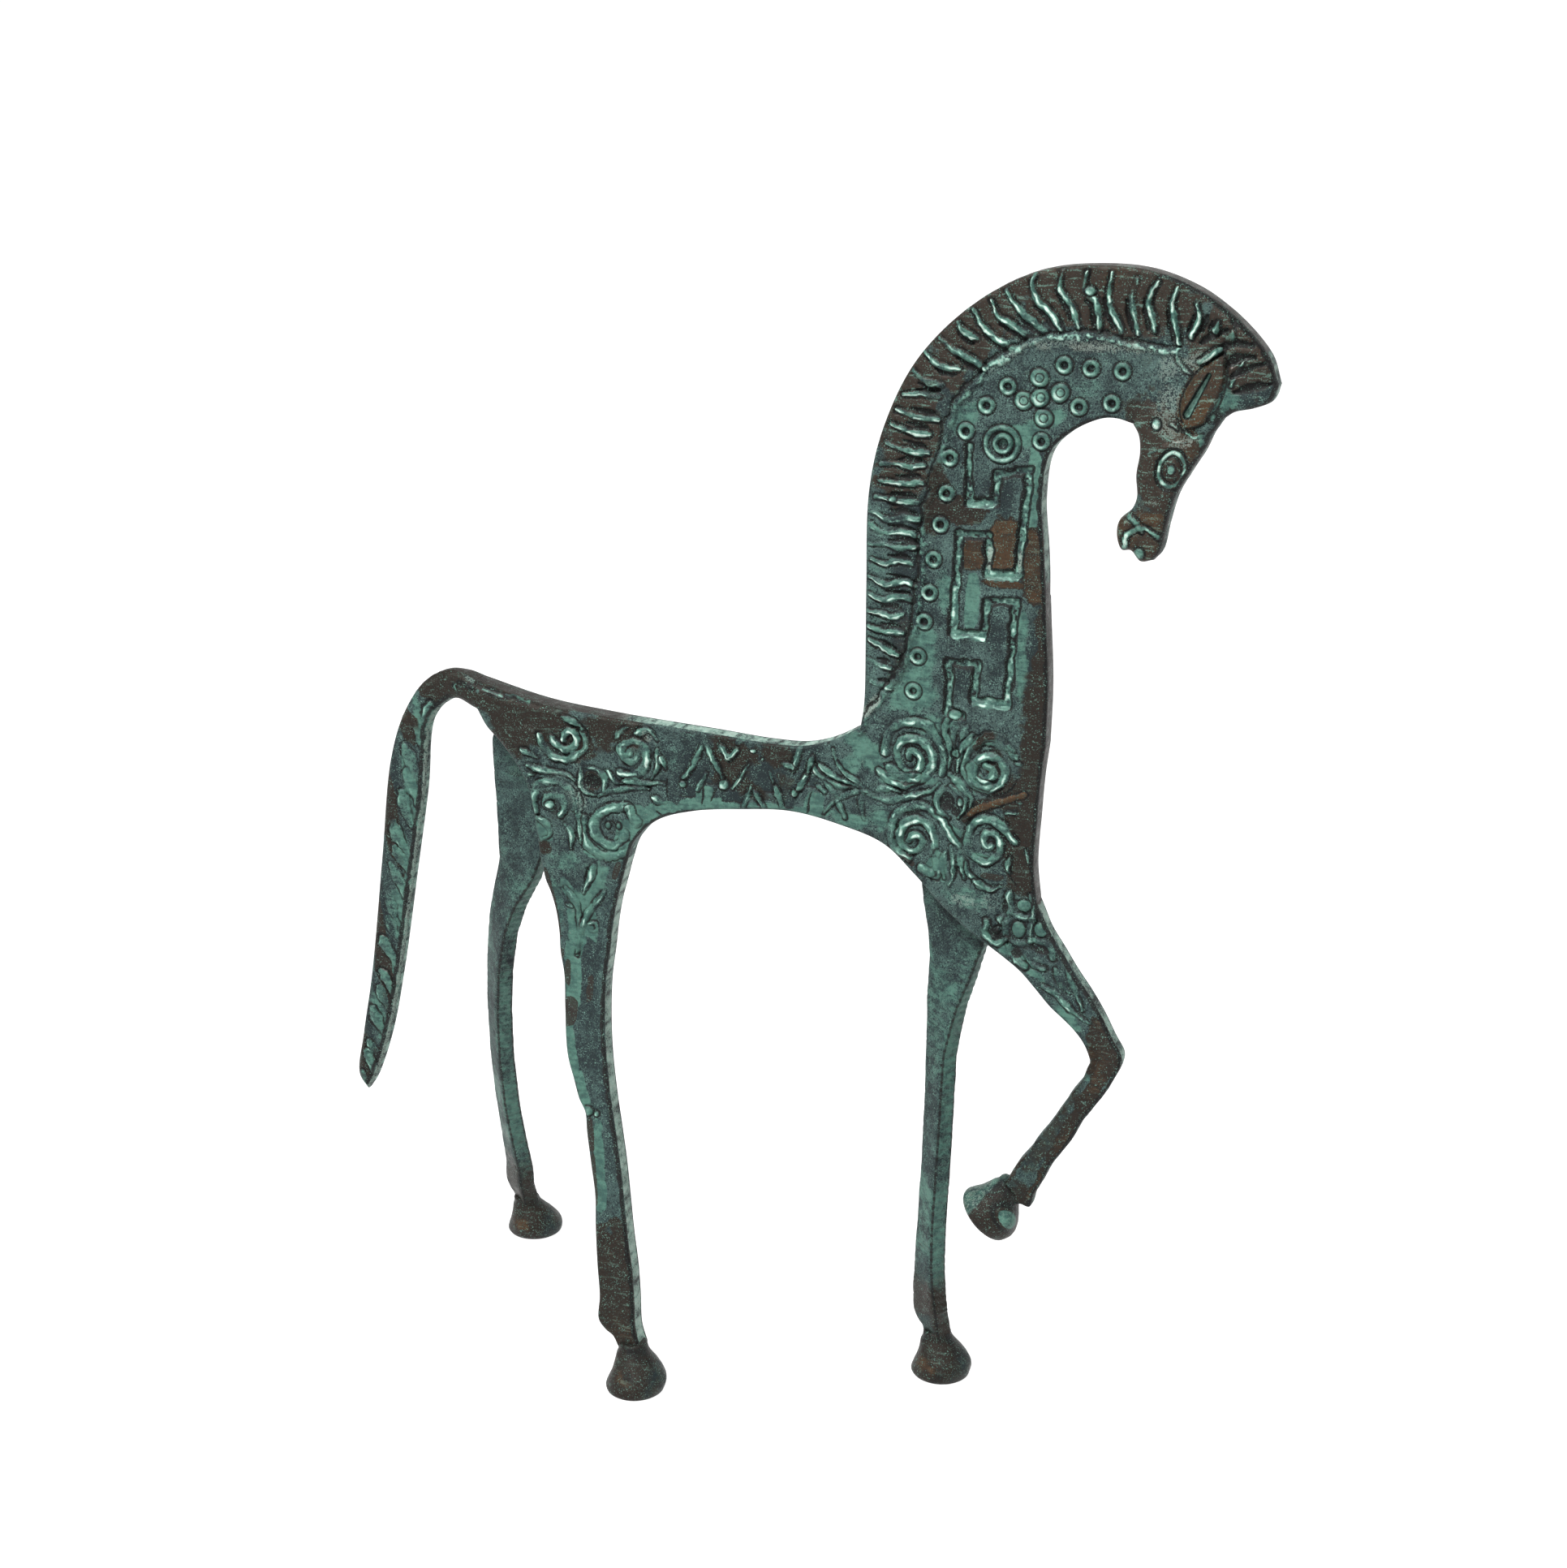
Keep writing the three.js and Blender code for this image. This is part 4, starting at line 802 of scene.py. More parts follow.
class Relief:
    """All the ornament of the figure, read at any places of its plane."""

    def __init__(self) -> None:
        """Lists every mark once."""
        families = (
            (KEY, MEANDER), (SCROLL, SCROLLS), (BAND, BANDS), (LEAF, LEAVES), (THIN, THIN_LINES),
            (STEM, STEMS), (BAR, BARS), (INCISED, INCISIONS), (CELL, CELLS), (FORELOCK, FORELOCK_GAPS),
            (MOUTH, HEAD_LINES), (LIT_EDGE, LIT_EDGES), (GAP, lock_gaps() + arch_gaps()),
            (NECK_LOCK, NECK_LOCKS), (LOCK, ARCH_LOCKS), (TAIL_LOCK, tail_locks()),
        )
        self.lines = [Line(run, stroke) for stroke, runs in families for run in runs]
        self.rings = [Ring(middle) for middle in RING_MIDDLES]
        self.rings += [Ring((56.4, 240.2), 1.8, 0.55, 0.5), Ring((56.2, 240.1), 3.7, 0.6, 0.4, 0.0, 0.75)]
        self.domes = [Dome(middle, 2.15, 0.6, 1.0, 0.7, 0.26) for middle in ROSETTE] + list(DOMES)
        self.crest_line = run_points(CREST, 0.6)

    def at(self, points: np.ndarray, seed: int) -> Marks:
        """Adds up the marks at some places.

        Args:
            points: Places in drawing millimetres, one row each.
            seed: The number that picks the ragged edges of the patches.

        Returns:
            The heights and tints there.
        """
        count = len(points)
        marks = Marks(np.zeros(count), np.zeros(count), np.zeros(count), {t: np.zeros(count) for t in Tint})
        self._patches(points, marks, seed)
        self._ground(points, marks)
        bent = points + np.stack([
            0.28 * lattice(points, 2.6, 31) + 0.15 * lattice(points, 0.9, 33),
            0.28 * lattice(points, 2.6, 32) + 0.15 * lattice(points, 0.9, 34),
        ], axis=1)
        for line in self.lines:
            self._line(bent, line, marks)
        for ring in self.rings:
            self._ring(points, ring, marks)
        for dome in self.domes:
            self._dome(points, dome, marks)
        self._border(points, marks)
        self._ear(points, marks)
        self._eye(points, marks)
        return marks

    @staticmethod
    def _ground(points: np.ndarray, marks: Marks) -> None:
        """Sinks the zigzag's ground behind the belly's rim with its teeth."""
        x, z = points.T
        rim = np.full(len(x), 148.0) + 0.25 * np.sin(x * 1.3)
        for foot, tip, height in ((-20, -16, 152), (-13.3, -16, 152), (-6.4, -4.6, 150), (0.4, 2.2, 151.6),
                                  (5.2, 2.2, 151.6), (7, 10.7, 154.2), (14.6, 10.7, 154.2)):
            share = np.clip((x - foot) / (tip - foot), 0.0, 1.0) * (np.abs(x - tip) <= abs(tip - foot))
            rim = np.maximum(rim, 148.0 + (height - 148.0) * share ** 1.5)
        sunk = smooth(z - rim, -0.3, 0.3) * smooth(x, -23.5, -21.0)
        sunk = sunk * (1.0 - smooth(x, 12.5, 14.5)) * (z > 140)
        marks.height -= 0.32 * sunk
        marks.tints[Tint.FRESH] *= 1.0 - 0.9 * sunk
        edge = np.exp(-((z - rim - 0.25) / 0.22) ** 2) * (sunk > 0.05)
        np.maximum(marks.groove, 0.8 * edge, out=marks.groove)
        np.maximum(marks.tints[Tint.SHADE], 0.5 * sunk, out=marks.tints[Tint.SHADE])

    @staticmethod
    def _line(points: np.ndarray, line: Line, marks: Marks) -> None:
        """Adds one line of ornament."""
        stroke = line.stroke
        bends = stroke.curved and len(line.places) > 2
        path = run_points(line.places, 0.7) if bends else np.array(line.places, float)
        reach = stroke.half_width + 1.4
        low, high = path.min(0) - reach, path.max(0) + reach
        pick = np.flatnonzero(((points > low) & (points < high)).all(1))
        if not len(pick):
            return
        near = points[pick]
        lengths = np.linalg.norm(np.diff(path, axis=0), axis=1)
        before = np.concatenate([[0.0], np.cumsum(lengths)])
        distance = np.full(len(pick), np.inf)
        along = np.zeros(len(pick))
        across = np.zeros(len(pick))
        for i, length in enumerate(lengths):
            gap, share, left = segment_distance(near, path[i], path[i + 1])
            closer = gap < distance
            distance[closer] = gap[closer]
            across[closer] = left[closer]
            along[closer] = (before[i] + share[closer] * length) / before[-1]
        width = stroke.half_width * (1.0 - stroke.taper * smooth(along, 0.3, 1.0))
        width = width * (1.0 - 0.7 * stroke.taper * (1.0 - smooth(along, 0.0, 0.2)))
        width = width * (1.0 + 0.3 * lattice(near, 2.2, 5) + 0.16 * lattice(near, 0.8, 6))
        scaled = distance / width
        present = 1.0 if stroke.even else np.clip(0.85 + 0.55 * lattice(near, 3.4, 25), 0.4, 1.1)
        outline = np.exp(-((distance - width - 0.28) / 0.3) ** 2) * present
        outline = outline * np.clip(0.95 + 0.6 * lattice(near, 1.7, 26), 0.4, 1.0)
        fresh, brown = marks.tints[Tint.FRESH], marks.tints[Tint.BROWN]
        if stroke.cut is Cut.GROOVE:
            floor = 1.0 - smooth(scaled, 0.5, 1.3)
            marks.height[pick] -= stroke.height * floor
            # The groove's floor is painted dark: painted shade in the cut, with dark patina there.
            marks.groove[pick] = np.maximum(marks.groove[pick], floor)
            return
        if stroke.cut is Cut.CHANNEL:
            floor = 1.0 - smooth(distance - width, -0.35, 0.3)
            lip = np.exp(-((distance - width - 0.8) / 0.36) ** 2)
            wall = np.exp(-((distance - width - 0.12) / 0.38) ** 2)
            marks.height[pick] += -stroke.height * floor + stroke.outline * lip
            speck = 0.5 + 0.9 * lattice(near, 0.55, 8) + 0.5 * lattice(near, 1.7, 9)
            inner = floor * (1.0 - wall)
            fresh[pick] = np.where(inner > 0.4, stroke.body * np.clip(speck + 0.4, 0.0, 1.0), fresh[pick])
            brown[pick] *= 1.0 - inner
            # The channel floor's specks get a painted highlight.
            marks.crest[pick] = np.maximum(marks.crest[pick], stroke.bright * inner * speck)
            # The dark walls are painted shade with dark patina; the dark dots on the floor are patina.
            dots = inner * smooth(-speck, -0.15, 0.25)
            marks.groove[pick] = np.maximum(marks.groove[pick], np.maximum(wall, 0.8 * dots))
            return
        crown = np.clip(1.0 - scaled ** 2.4, 0.0, 1.0) ** 0.8
        lumpy = 1.0 + 0.4 * lattice(near, 1.3, 23) + 0.25 * lattice(near, 0.6, 24)
        marks.height[pick] += stroke.height * crown * lumpy * present - stroke.outline * outline
        body = smooth(crown, 0.02, 0.4) * np.clip(present + 0.1, 0.0, 1.0)
        wear_and_highlight = np.clip(0.8 + 0.9 * lattice(near, 1.4, 21), 0.0, 1.15)
        # The glint is a painted highlight along the line, moved across it by lean and broken up by noise.
        wander = stroke.lean + (0.2 if stroke.lean else 0.5) * lattice(near, 3.0, 27)
        glint = np.exp(-((across / width - wander) / 0.42) ** 2) * smooth(crown, 0.1, 0.5)
        glint = smooth(crown, 0.3, 0.9) if stroke.even else glint * present
        fresh[pick] = fresh[pick] * (1.0 - body) + np.maximum(fresh[pick], stroke.body) * body
        brown[pick] = brown[pick] * (1.0 - body * stroke.body) + stroke.brown * body
        marks.crest[pick] = np.maximum(marks.crest[pick], stroke.bright * glint * wear_and_highlight)
        # The dark outline beside a raised line is painted shade in its groove, with dark patina there.
        dark = (1.0 if stroke.outline > 0 else 0.0) * outline * (1.0 - body)
        marks.groove[pick] = np.maximum(marks.groove[pick] * (1.0 - body), dark)

    @staticmethod
    def _ring(points: np.ndarray, ring: Ring, marks: Marks) -> None:
        """Adds one ring with its pit."""
        reach = ring.radius + 1.8
        pick = np.flatnonzero(np.abs(points - ring.middle).max(1) < reach)
        gap = np.hypot(*(points[pick] - ring.middle).T)
        off = np.abs(gap - ring.radius) / ring.half_width
        crown = np.clip(1.0 - off ** 2, 0.0, 1.0) ** 0.7
        pit = (1.0 - smooth(gap, 0.3, ring.radius - 0.35)) * (ring.pit > 0)
        bead = np.exp(-(gap / 0.3) ** 2) * (ring.pit > 0)
        outline = np.exp(-((gap - ring.radius - ring.half_width - 0.2) / 0.26) ** 2)
        inner = np.exp(-((gap - ring.radius + ring.half_width + 0.12) / 0.2) ** 2)
        raised = ring.height * crown - ring.pit * pit - 0.18 * outline - 0.1 * inner + 0.3 * bead
        marks.height[pick] += 1.5 * raised
        body = smooth(crown, 0.05, 0.4)
        fresh, brown = marks.tints[Tint.FRESH], marks.tints[Tint.BROWN]
        fresh[pick] = np.maximum(fresh[pick], ring.body * body)
        brown[pick] *= 1.0 - body * ring.body
        # shine is a painted highlight on the ring, stronger towards its lower left; its dark outline and pit
        # are painted shade with dark patina.
        below = smooth(ring.middle[1] - points[pick, 1] + 0.6 * (ring.middle[0] - points[pick, 0]), -0.4, 1.6)
        speck = np.clip(0.9 + 0.6 * lattice(points[pick], 1.1, 28), 0.0, 1.0)
        shine = (0.45 + 0.5 * below) * smooth(crown, 0.3, 0.9) * speck
        marks.crest[pick] = np.maximum(marks.crest[pick], shine * ring.body)
        dark = np.clip(0.85 * outline + 0.8 * inner + 0.5 * pit - 0.9 * bead, 0.0, 1.0)
        marks.groove[pick] = np.maximum(marks.groove[pick] * (1.0 - body), dark * (1.0 - body))

    @staticmethod
    def _dome(points: np.ndarray, dome: Dome, marks: Marks) -> None:
        """Adds one stud or pit."""
        reach = dome.radius * max(1.0, dome.stretch) + 1.2
        pick = np.flatnonzero(np.abs(points - dome.middle).max(1) < reach)
        if not len(pick):
            return
        shift = points[pick] - dome.middle
        gap = np.hypot(shift[:, 0], shift[:, 1] / dome.stretch)
        gap = gap * (1.0 + 0.09 * lattice(points[pick], 2.2, 29))
        bowl = np.sqrt(np.clip(1.0 - (gap / dome.radius) ** 2, 0.0, 1.0))
        outline = np.exp(-((gap - dome.radius - 0.15) / 0.28) ** 2)
        off = np.hypot(shift[:, 0] - 0.15, shift[:, 1] - 0.15)
        dent = np.exp(-((off - 0.45 * dome.radius) / 0.2) ** 2)
        marks.height[pick] += 1.25 * dome.height * bowl - 0.25 * outline - dome.dent * dent
        body = smooth(bowl, 0.05, 0.4)
        if dome.bright > 0:
            fresh, brown = marks.tints[Tint.FRESH], marks.tints[Tint.BROWN]
            fresh[pick] = np.maximum(fresh[pick], 1.1 * body)
            brown[pick] *= 1.0 - body
            # A painted highlight on the stud, stronger towards its lower left; the dark outline and dent are
            # painted shade with dark patina.
            below = smooth(-0.8 * shift[:, 1] - 0.6 * shift[:, 0], -0.3 * dome.radius, 0.9 * dome.radius)
            crest = dome.bright * smooth(bowl, 0.3, 0.9) * (0.6 + 0.9 * below)
            marks.crest[pick] = np.maximum(marks.crest[pick] * (1.0 - body), crest)
            dark = np.clip(0.9 * outline + dome.dent * 3.2 * dent, 0.0, 1.0)
            marks.groove[pick] = np.maximum(marks.groove[pick] * (1.0 - body), dark)
            return
        # A pit is painted dark: painted shade with dark patina in it.
        marks.groove[pick] = np.maximum(marks.groove[pick], -dome.bright * body)
        marks.crest[pick] *= 1.0 - body

    def _border(self, points: np.ndarray, marks: Marks) -> None:
        """Adds the raised border between the neck and the mane."""
        low, high = self.crest_line.min(0) - 4, self.crest_line.max(0) + 4
        pick = np.flatnonzero(((points > low) & (points < high)).all(1))
        if not len(pick):
            return
        near = points[pick]
        distance = np.full(len(pick), np.inf)
        left = np.zeros(len(pick))
        for start, end in zip(self.crest_line[:-1], self.crest_line[1:]):
            gap, _, offset = segment_distance(near, start, end)
            closer = gap < distance
            distance[closer] = gap[closer]
            left[closer] = offset[closer]
        signed = np.where(left > 0, distance, -distance)
        ragged = signed + 0.6 * lattice(near, 1.8, 11) + 0.3 * lattice(near, 0.6, 12)
        arch = smooth(near[:, 1], 246.0, 262.0)
        ridge = np.exp(-((ragged + 0.95) / (0.5 + 0.25 * arch)) ** 2)
        outer_groove = np.exp(-((ragged - 0.35) / 0.42) ** 2)
        inner_groove = np.exp(-((ragged + 2.2) / 0.35) ** 2)
        speck = np.clip(0.65 + 0.8 * lattice(near, 0.7, 13) + 0.35 * lattice(near, 0.35, 14), 0.1, 1.0)
        marks.height[pick] += 0.5 * ridge * (0.6 + 0.6 * speck) - 0.5 * outer_groove - 0.12 * inner_groove
        # A painted highlight along the border's ridge, stronger on the arch; its grooves are painted dark
        # with shade and dark patina.
        marks.crest[pick] = np.maximum(marks.crest[pick], (0.35 + 0.5 * arch) * ridge * speck)
        dark = np.clip(0.9 * outer_groove + 0.25 * inner_groove, 0.0, 1.0)
        marks.groove[pick] = np.maximum(marks.groove[pick] * (1.0 - ridge), dark)
        marks.tints[Tint.FRESH][pick] = np.maximum(marks.tints[Tint.FRESH][pick], 0.9 * ridge * speck)

    @staticmethod
    def _ear(points: np.ndarray, marks: Marks) -> None:
        """Raises the almond ear with its slot."""
        pick = np.flatnonzero((points[:, 0] > 92) & (points[:, 1] > 242))
        if not len(pick):
            return
        near = points[pick]
        base, tip = np.array((97.6, 246.4)), np.array((104.7, 262.2))
        half = np.linalg.norm(tip - base) / 2
        way = (tip - base) / (2 * half)
        middle = (base + tip) / 2
        along = (near - middle) @ way / half
        across = np.abs((near - middle) @ np.array((-way[1], way[0])))
        width = 3.7 * np.clip(1.0 - np.abs(along) ** 2.2, 0.0, 1.0) ** 0.7 * (1.0 - 0.22 * along) + 1e-3
        leaf = (1.0 - smooth(across / width, 0.7, 1.02)) * (np.abs(along) < 1.0)
        rim = np.exp(-((across - width - 0.3) / 0.3) ** 2) * (np.abs(along) < 1.05)
        gap, share, _ = segment_distance(near, np.array((97.6, 249.2)), np.array((102, 258)))
        slot_width = 0.85 - 0.42 * share
        slot = 1.0 - smooth(gap / slot_width, 0.6, 1.25)
        slot_wall = np.exp(-((gap - slot_width) / 0.22) ** 2)
        marks.height[pick] += 0.95 * leaf - 1.1 * slot - 0.3 * rim
        brown = marks.tints[Tint.BROWN]
        brown[pick] = np.maximum(brown[pick], leaf) * (1.0 - slot)
        for tint in (Tint.FRESH, Tint.PALE):
            marks.tints[tint][pick] *= 1.0 - leaf
        marks.tints[Tint.FRESH][pick] += slot
        # The slot's floor gets a painted highlight; the dark rim and slot walls are painted shade with dark
        # patina.
        marks.crest[pick] = np.maximum(marks.crest[pick] * (1.0 - leaf), 0.6 * smooth(slot, 0.6, 0.95))
        dark = np.clip(0.8 * rim + slot_wall * leaf, 0.0, 1.0)
        marks.groove[pick] = np.maximum(marks.groove[pick] * (1.0 - leaf), dark)

    @staticmethod
    def _eye(points: np.ndarray, marks: Marks) -> None:
        """Sets the eye in its socket: a lid ring, a ball and a pupil."""
        middle = np.array((94.7, 236.9))
        pick = np.flatnonzero(np.abs(points - middle).max(1) < 8.0)
        if not len(pick):
            return
        near = points[pick] - middle
        lean = np.array((math.cos(math.radians(76)), math.sin(math.radians(76))))
        tall = near @ lean / 4.3
        wide = near @ np.array((-lean[1], lean[0])) / 3.1
        radius = np.hypot(tall, wide) + 0.04 * lattice(near, 1.4, 15)
        upper = smooth(near[:, 1] - near[:, 0], -2.0, 4.0)
        socket = np.exp(-((radius - 1.34) / 0.2) ** 2) * (0.35 + 0.65 * upper)
        sink = 1.0 - smooth(radius, 1.0, 1.18)
        ring = np.exp(-((radius - 0.88) / 0.13) ** 2)
        ball = np.sqrt(np.clip(1.0 - (radius / 0.62) ** 2, 0.0, 1.0))
        pupil = 1.0 - smooth(radius, 0.2, 0.3)
        marks.height[pick] += 0.5 * socket - 0.5 * sink + 0.32 * ring + 0.95 * ball
        brown, fresh = marks.tints[Tint.BROWN], marks.tints[Tint.FRESH]
        brown[pick] = np.maximum(brown[pick], socket) * (1.0 - ring)
        brown[pick] = np.where(radius < 0.64, 1.0 - pupil, brown[pick])
        fresh[pick] = np.clip(fresh[pick] * (radius > 1.3) + 1.1 * ring + pupil, 0.0, 1.2)
        broken = np.clip(0.65 + 1.8 * lattice(near, 1.5, 16), 0.0, 1.2)
        # A painted highlight on the lid ring and the pupil; the dark rings are painted shade with dark
        # patina.
        marks.crest[pick] = marks.crest[pick] * (radius > 1.2) + 0.85 * ring * broken + 0.5 * pupil
        dark = np.exp(-((radius - 1.1) / 0.09) ** 2) + np.exp(-((radius - 0.67) / 0.07) ** 2)
        dark += 0.8 * np.exp(-((radius - 0.33) / 0.05) ** 2)
        marks.groove[pick] = np.clip(dark, 0.0, 1.0)

    @staticmethod
    def _patches(points: np.ndarray, marks: Marks, seed: int) -> None:
        """Lays the ragged patches of patina."""
        ragged = 0.5 * rough(points, 5.0, 4, seed) + 0.3 * rough(points, 1.6, 3, seed + 3)
        for patch in PATCHES:
            turn = math.radians(patch.turn)
            shift = points - patch.middle
            u = (shift[:, 0] * math.cos(turn) + shift[:, 1] * math.sin(turn)) / patch.reach[0]
            v = (-shift[:, 0] * math.sin(turn) + shift[:, 1] * math.cos(turn)) / patch.reach[1]
            crisp = patch.tint is Tint.FLAKE or patch.strength > 1.05
            if crisp:
                share = 1.0 - smooth((np.abs(u) ** 3 + np.abs(v) ** 3) ** (1 / 3) + 0.6 * ragged, 0.82, 1.04)
            else:
                share = 1.0 - smooth(np.hypot(u, v) + ragged, 0.4, 1.3)
            held = marks.tints[patch.tint]
            np.maximum(held, patch.strength * share, out=held)


RELIEF = Relief()
# The highlight tint is a painted highlight along ridges, rings, studs and edges; groove is dark patina in the
# hollows together with painted shade there.
TINT_NAMES = tuple(tint.value for tint in Tint) + ("crest", "groove", "rub")


@dataclass(frozen=True)
class Patina:
    """A finish of aged bronze: verdigris over a brown ground, told apart by the mesh's own tints, with
    painted highlights from its highlight tint and painted shade with dark patina from its groove tint.
    """

    name: str
    slate: Colour = (0.007, 0.0145, 0.0165)
    verdigris: Colour = (0.054, 0.096, 0.088)
    fresh: Colour = (0.066, 0.154, 0.12)
    # The mint colour is both pale patina on scratches and specks and the colour of painted highlights; the
    # whitest colour after it is only for painted highlights.
    deep: Colour = (0.03, 0.074, 0.064)
    mint_and_highlight: Colour = (0.2, 0.38, 0.31)
    highlight_white: Colour = (0.5, 0.62, 0.55)
    cream: Colour = (0.25, 0.31, 0.27)
    brown: Colour = (0.017, 0.0125, 0.0092)
    copper: Colour = (0.056, 0.031, 0.0145)
    black: Colour = (0.005, 0.005, 0.005)
    brown_bias: float = 0.0
    speckle: float = 0.85
    streak: float = 0.14
    grain: float = 0.9

    def material(self) -> bpy.types.Material:
        """The finish as a node material.

        Returns:
            The new material.
        """
        made = bpy.data.materials.new(self.name)
        made.use_nodes = True
        made.node_tree.nodes.clear()
        graph = Graph(made.node_tree)
        tint = {key: graph.attribute(key) for key in TINT_NAMES}
        broad = graph.noise(110.0, 3.0, 0.55)
        middle = graph.noise(480.0, 4.0, 0.62)
        fine = graph.noise(1500.0, 3.0, 0.65)
        dust = graph.noise(3000.0, 2.0, 0.6)
        filed = graph.noise(900.0, 2.0, 0.6, stretch=(0.22, 1.0, 1.35), turn=0.5)
        granule = graph.weigh((fine, 0.55), (dust, 0.45))
        uneven = graph.weigh((granule, 1.5), (middle, 0.4), (broad, 0.5), (tint["shade"], -0.2), plus=-0.68)
        ground = graph.mix(graph.step(uneven, 0.38, 0.64), self.slate, self.verdigris)
        spread = graph.weigh((granule, 1.3), (middle, 0.9), (broad, 0.6), (filed, 0.6), plus=-1.7)
        green = graph.step(graph.sum(tint["fresh"], spread), 0.2, 0.95)
        stain = graph.step(graph.weigh((filed, 0.5), (middle, 0.8), (fine, 0.4)), 0.7, 0.98)
        colour = graph.mix(green, ground, graph.mix(stain, self.deep, self.fresh))
        bared = graph.weigh((tint["brown"], 1.0), (middle, 0.8), (fine, 0.5), plus=self.brown_bias - 0.65)
        bare = graph.step(bared, 0.3, 0.72)
        polish = graph.step(graph.weigh((tint["brown"], 1.0), (broad, 0.7), (filed, 0.4)), 1.68, 2.0)
        colour = graph.mix(bare, colour, graph.mix(polish, self.brown, self.copper))
        lines = graph.step(graph.weigh((filed, 1.0), (dust, 0.5)), 0.82, 0.95)
        colour = graph.mix(graph.product(lines, bare, self.streak), colour, self.mint_and_highlight)
        flaked = graph.step(graph.weigh((tint["flake"], 1.0), (granule, 0.9), plus=-0.45), 0.4, 0.55)
        colour = graph.mix(graph.scaled(flaked, 0.9), colour, self.brown)
        # The highlight tint, broken by noise, paints highlights in the mint colour and, at its peaks, the
        # white one.
        wear_and_highlight = graph.weigh((tint["crest"], 1.0), (fine, 0.9), (middle, 0.4), plus=-0.65)
        colour = graph.mix(graph.scaled(graph.step(wear_and_highlight, 0.3, 0.85), 0.9), colour, self.mint_and_highlight)
        colour = graph.mix(graph.scaled(graph.step(wear_and_highlight, 0.6, 1.1), 0.85), colour, self.highlight_white)
        cream = graph.step(graph.weigh((tint["pale"], 1.0), (granule, 3.4), plus=-1.7), 0.35, 0.95)
        colour = graph.mix(graph.scaled(cream, 0.75), colour, self.cream)
        # The groove tint turns near black: dark patina in the hollows and painted shade there.
        dark = graph.step(graph.weigh((tint["groove"], 1.0), (fine, 0.4), plus=-0.2), 0.15, 0.7)
        colour = graph.mix(graph.scaled(dark, 0.95), colour, self.black)
        specks = graph.step(graph.weigh((dust, 0.6), (fine, 0.6)), 0.65, 0.77)
        calm = graph.weigh((green, -0.5), plus=1.0)
        colour = graph.mix(graph.product(specks, calm, self.speckle), colour, self.black)
        lint = graph.step(graph.weigh((dust, 0.9), (middle, 0.3)), 0.68, 0.8)
        colour = graph.mix(graph.product(lint, calm, 0.55), colour, self.mint_and_highlight)
        colour = graph.mix(graph.scaled(tint["rub"], 0.25), colour, self.cream)
        relief = graph.product(graph.weigh((granule, 1.0), (specks, -0.3)), graph.sum(calm, 0.1))
        roughness = graph.weigh((bare, -0.15), (green, -0.14), (fine, 0.15), plus=0.52)
        graph.finish(colour, roughness, graph.scaled(bare, 0.3), relief, self.grain)
        return made


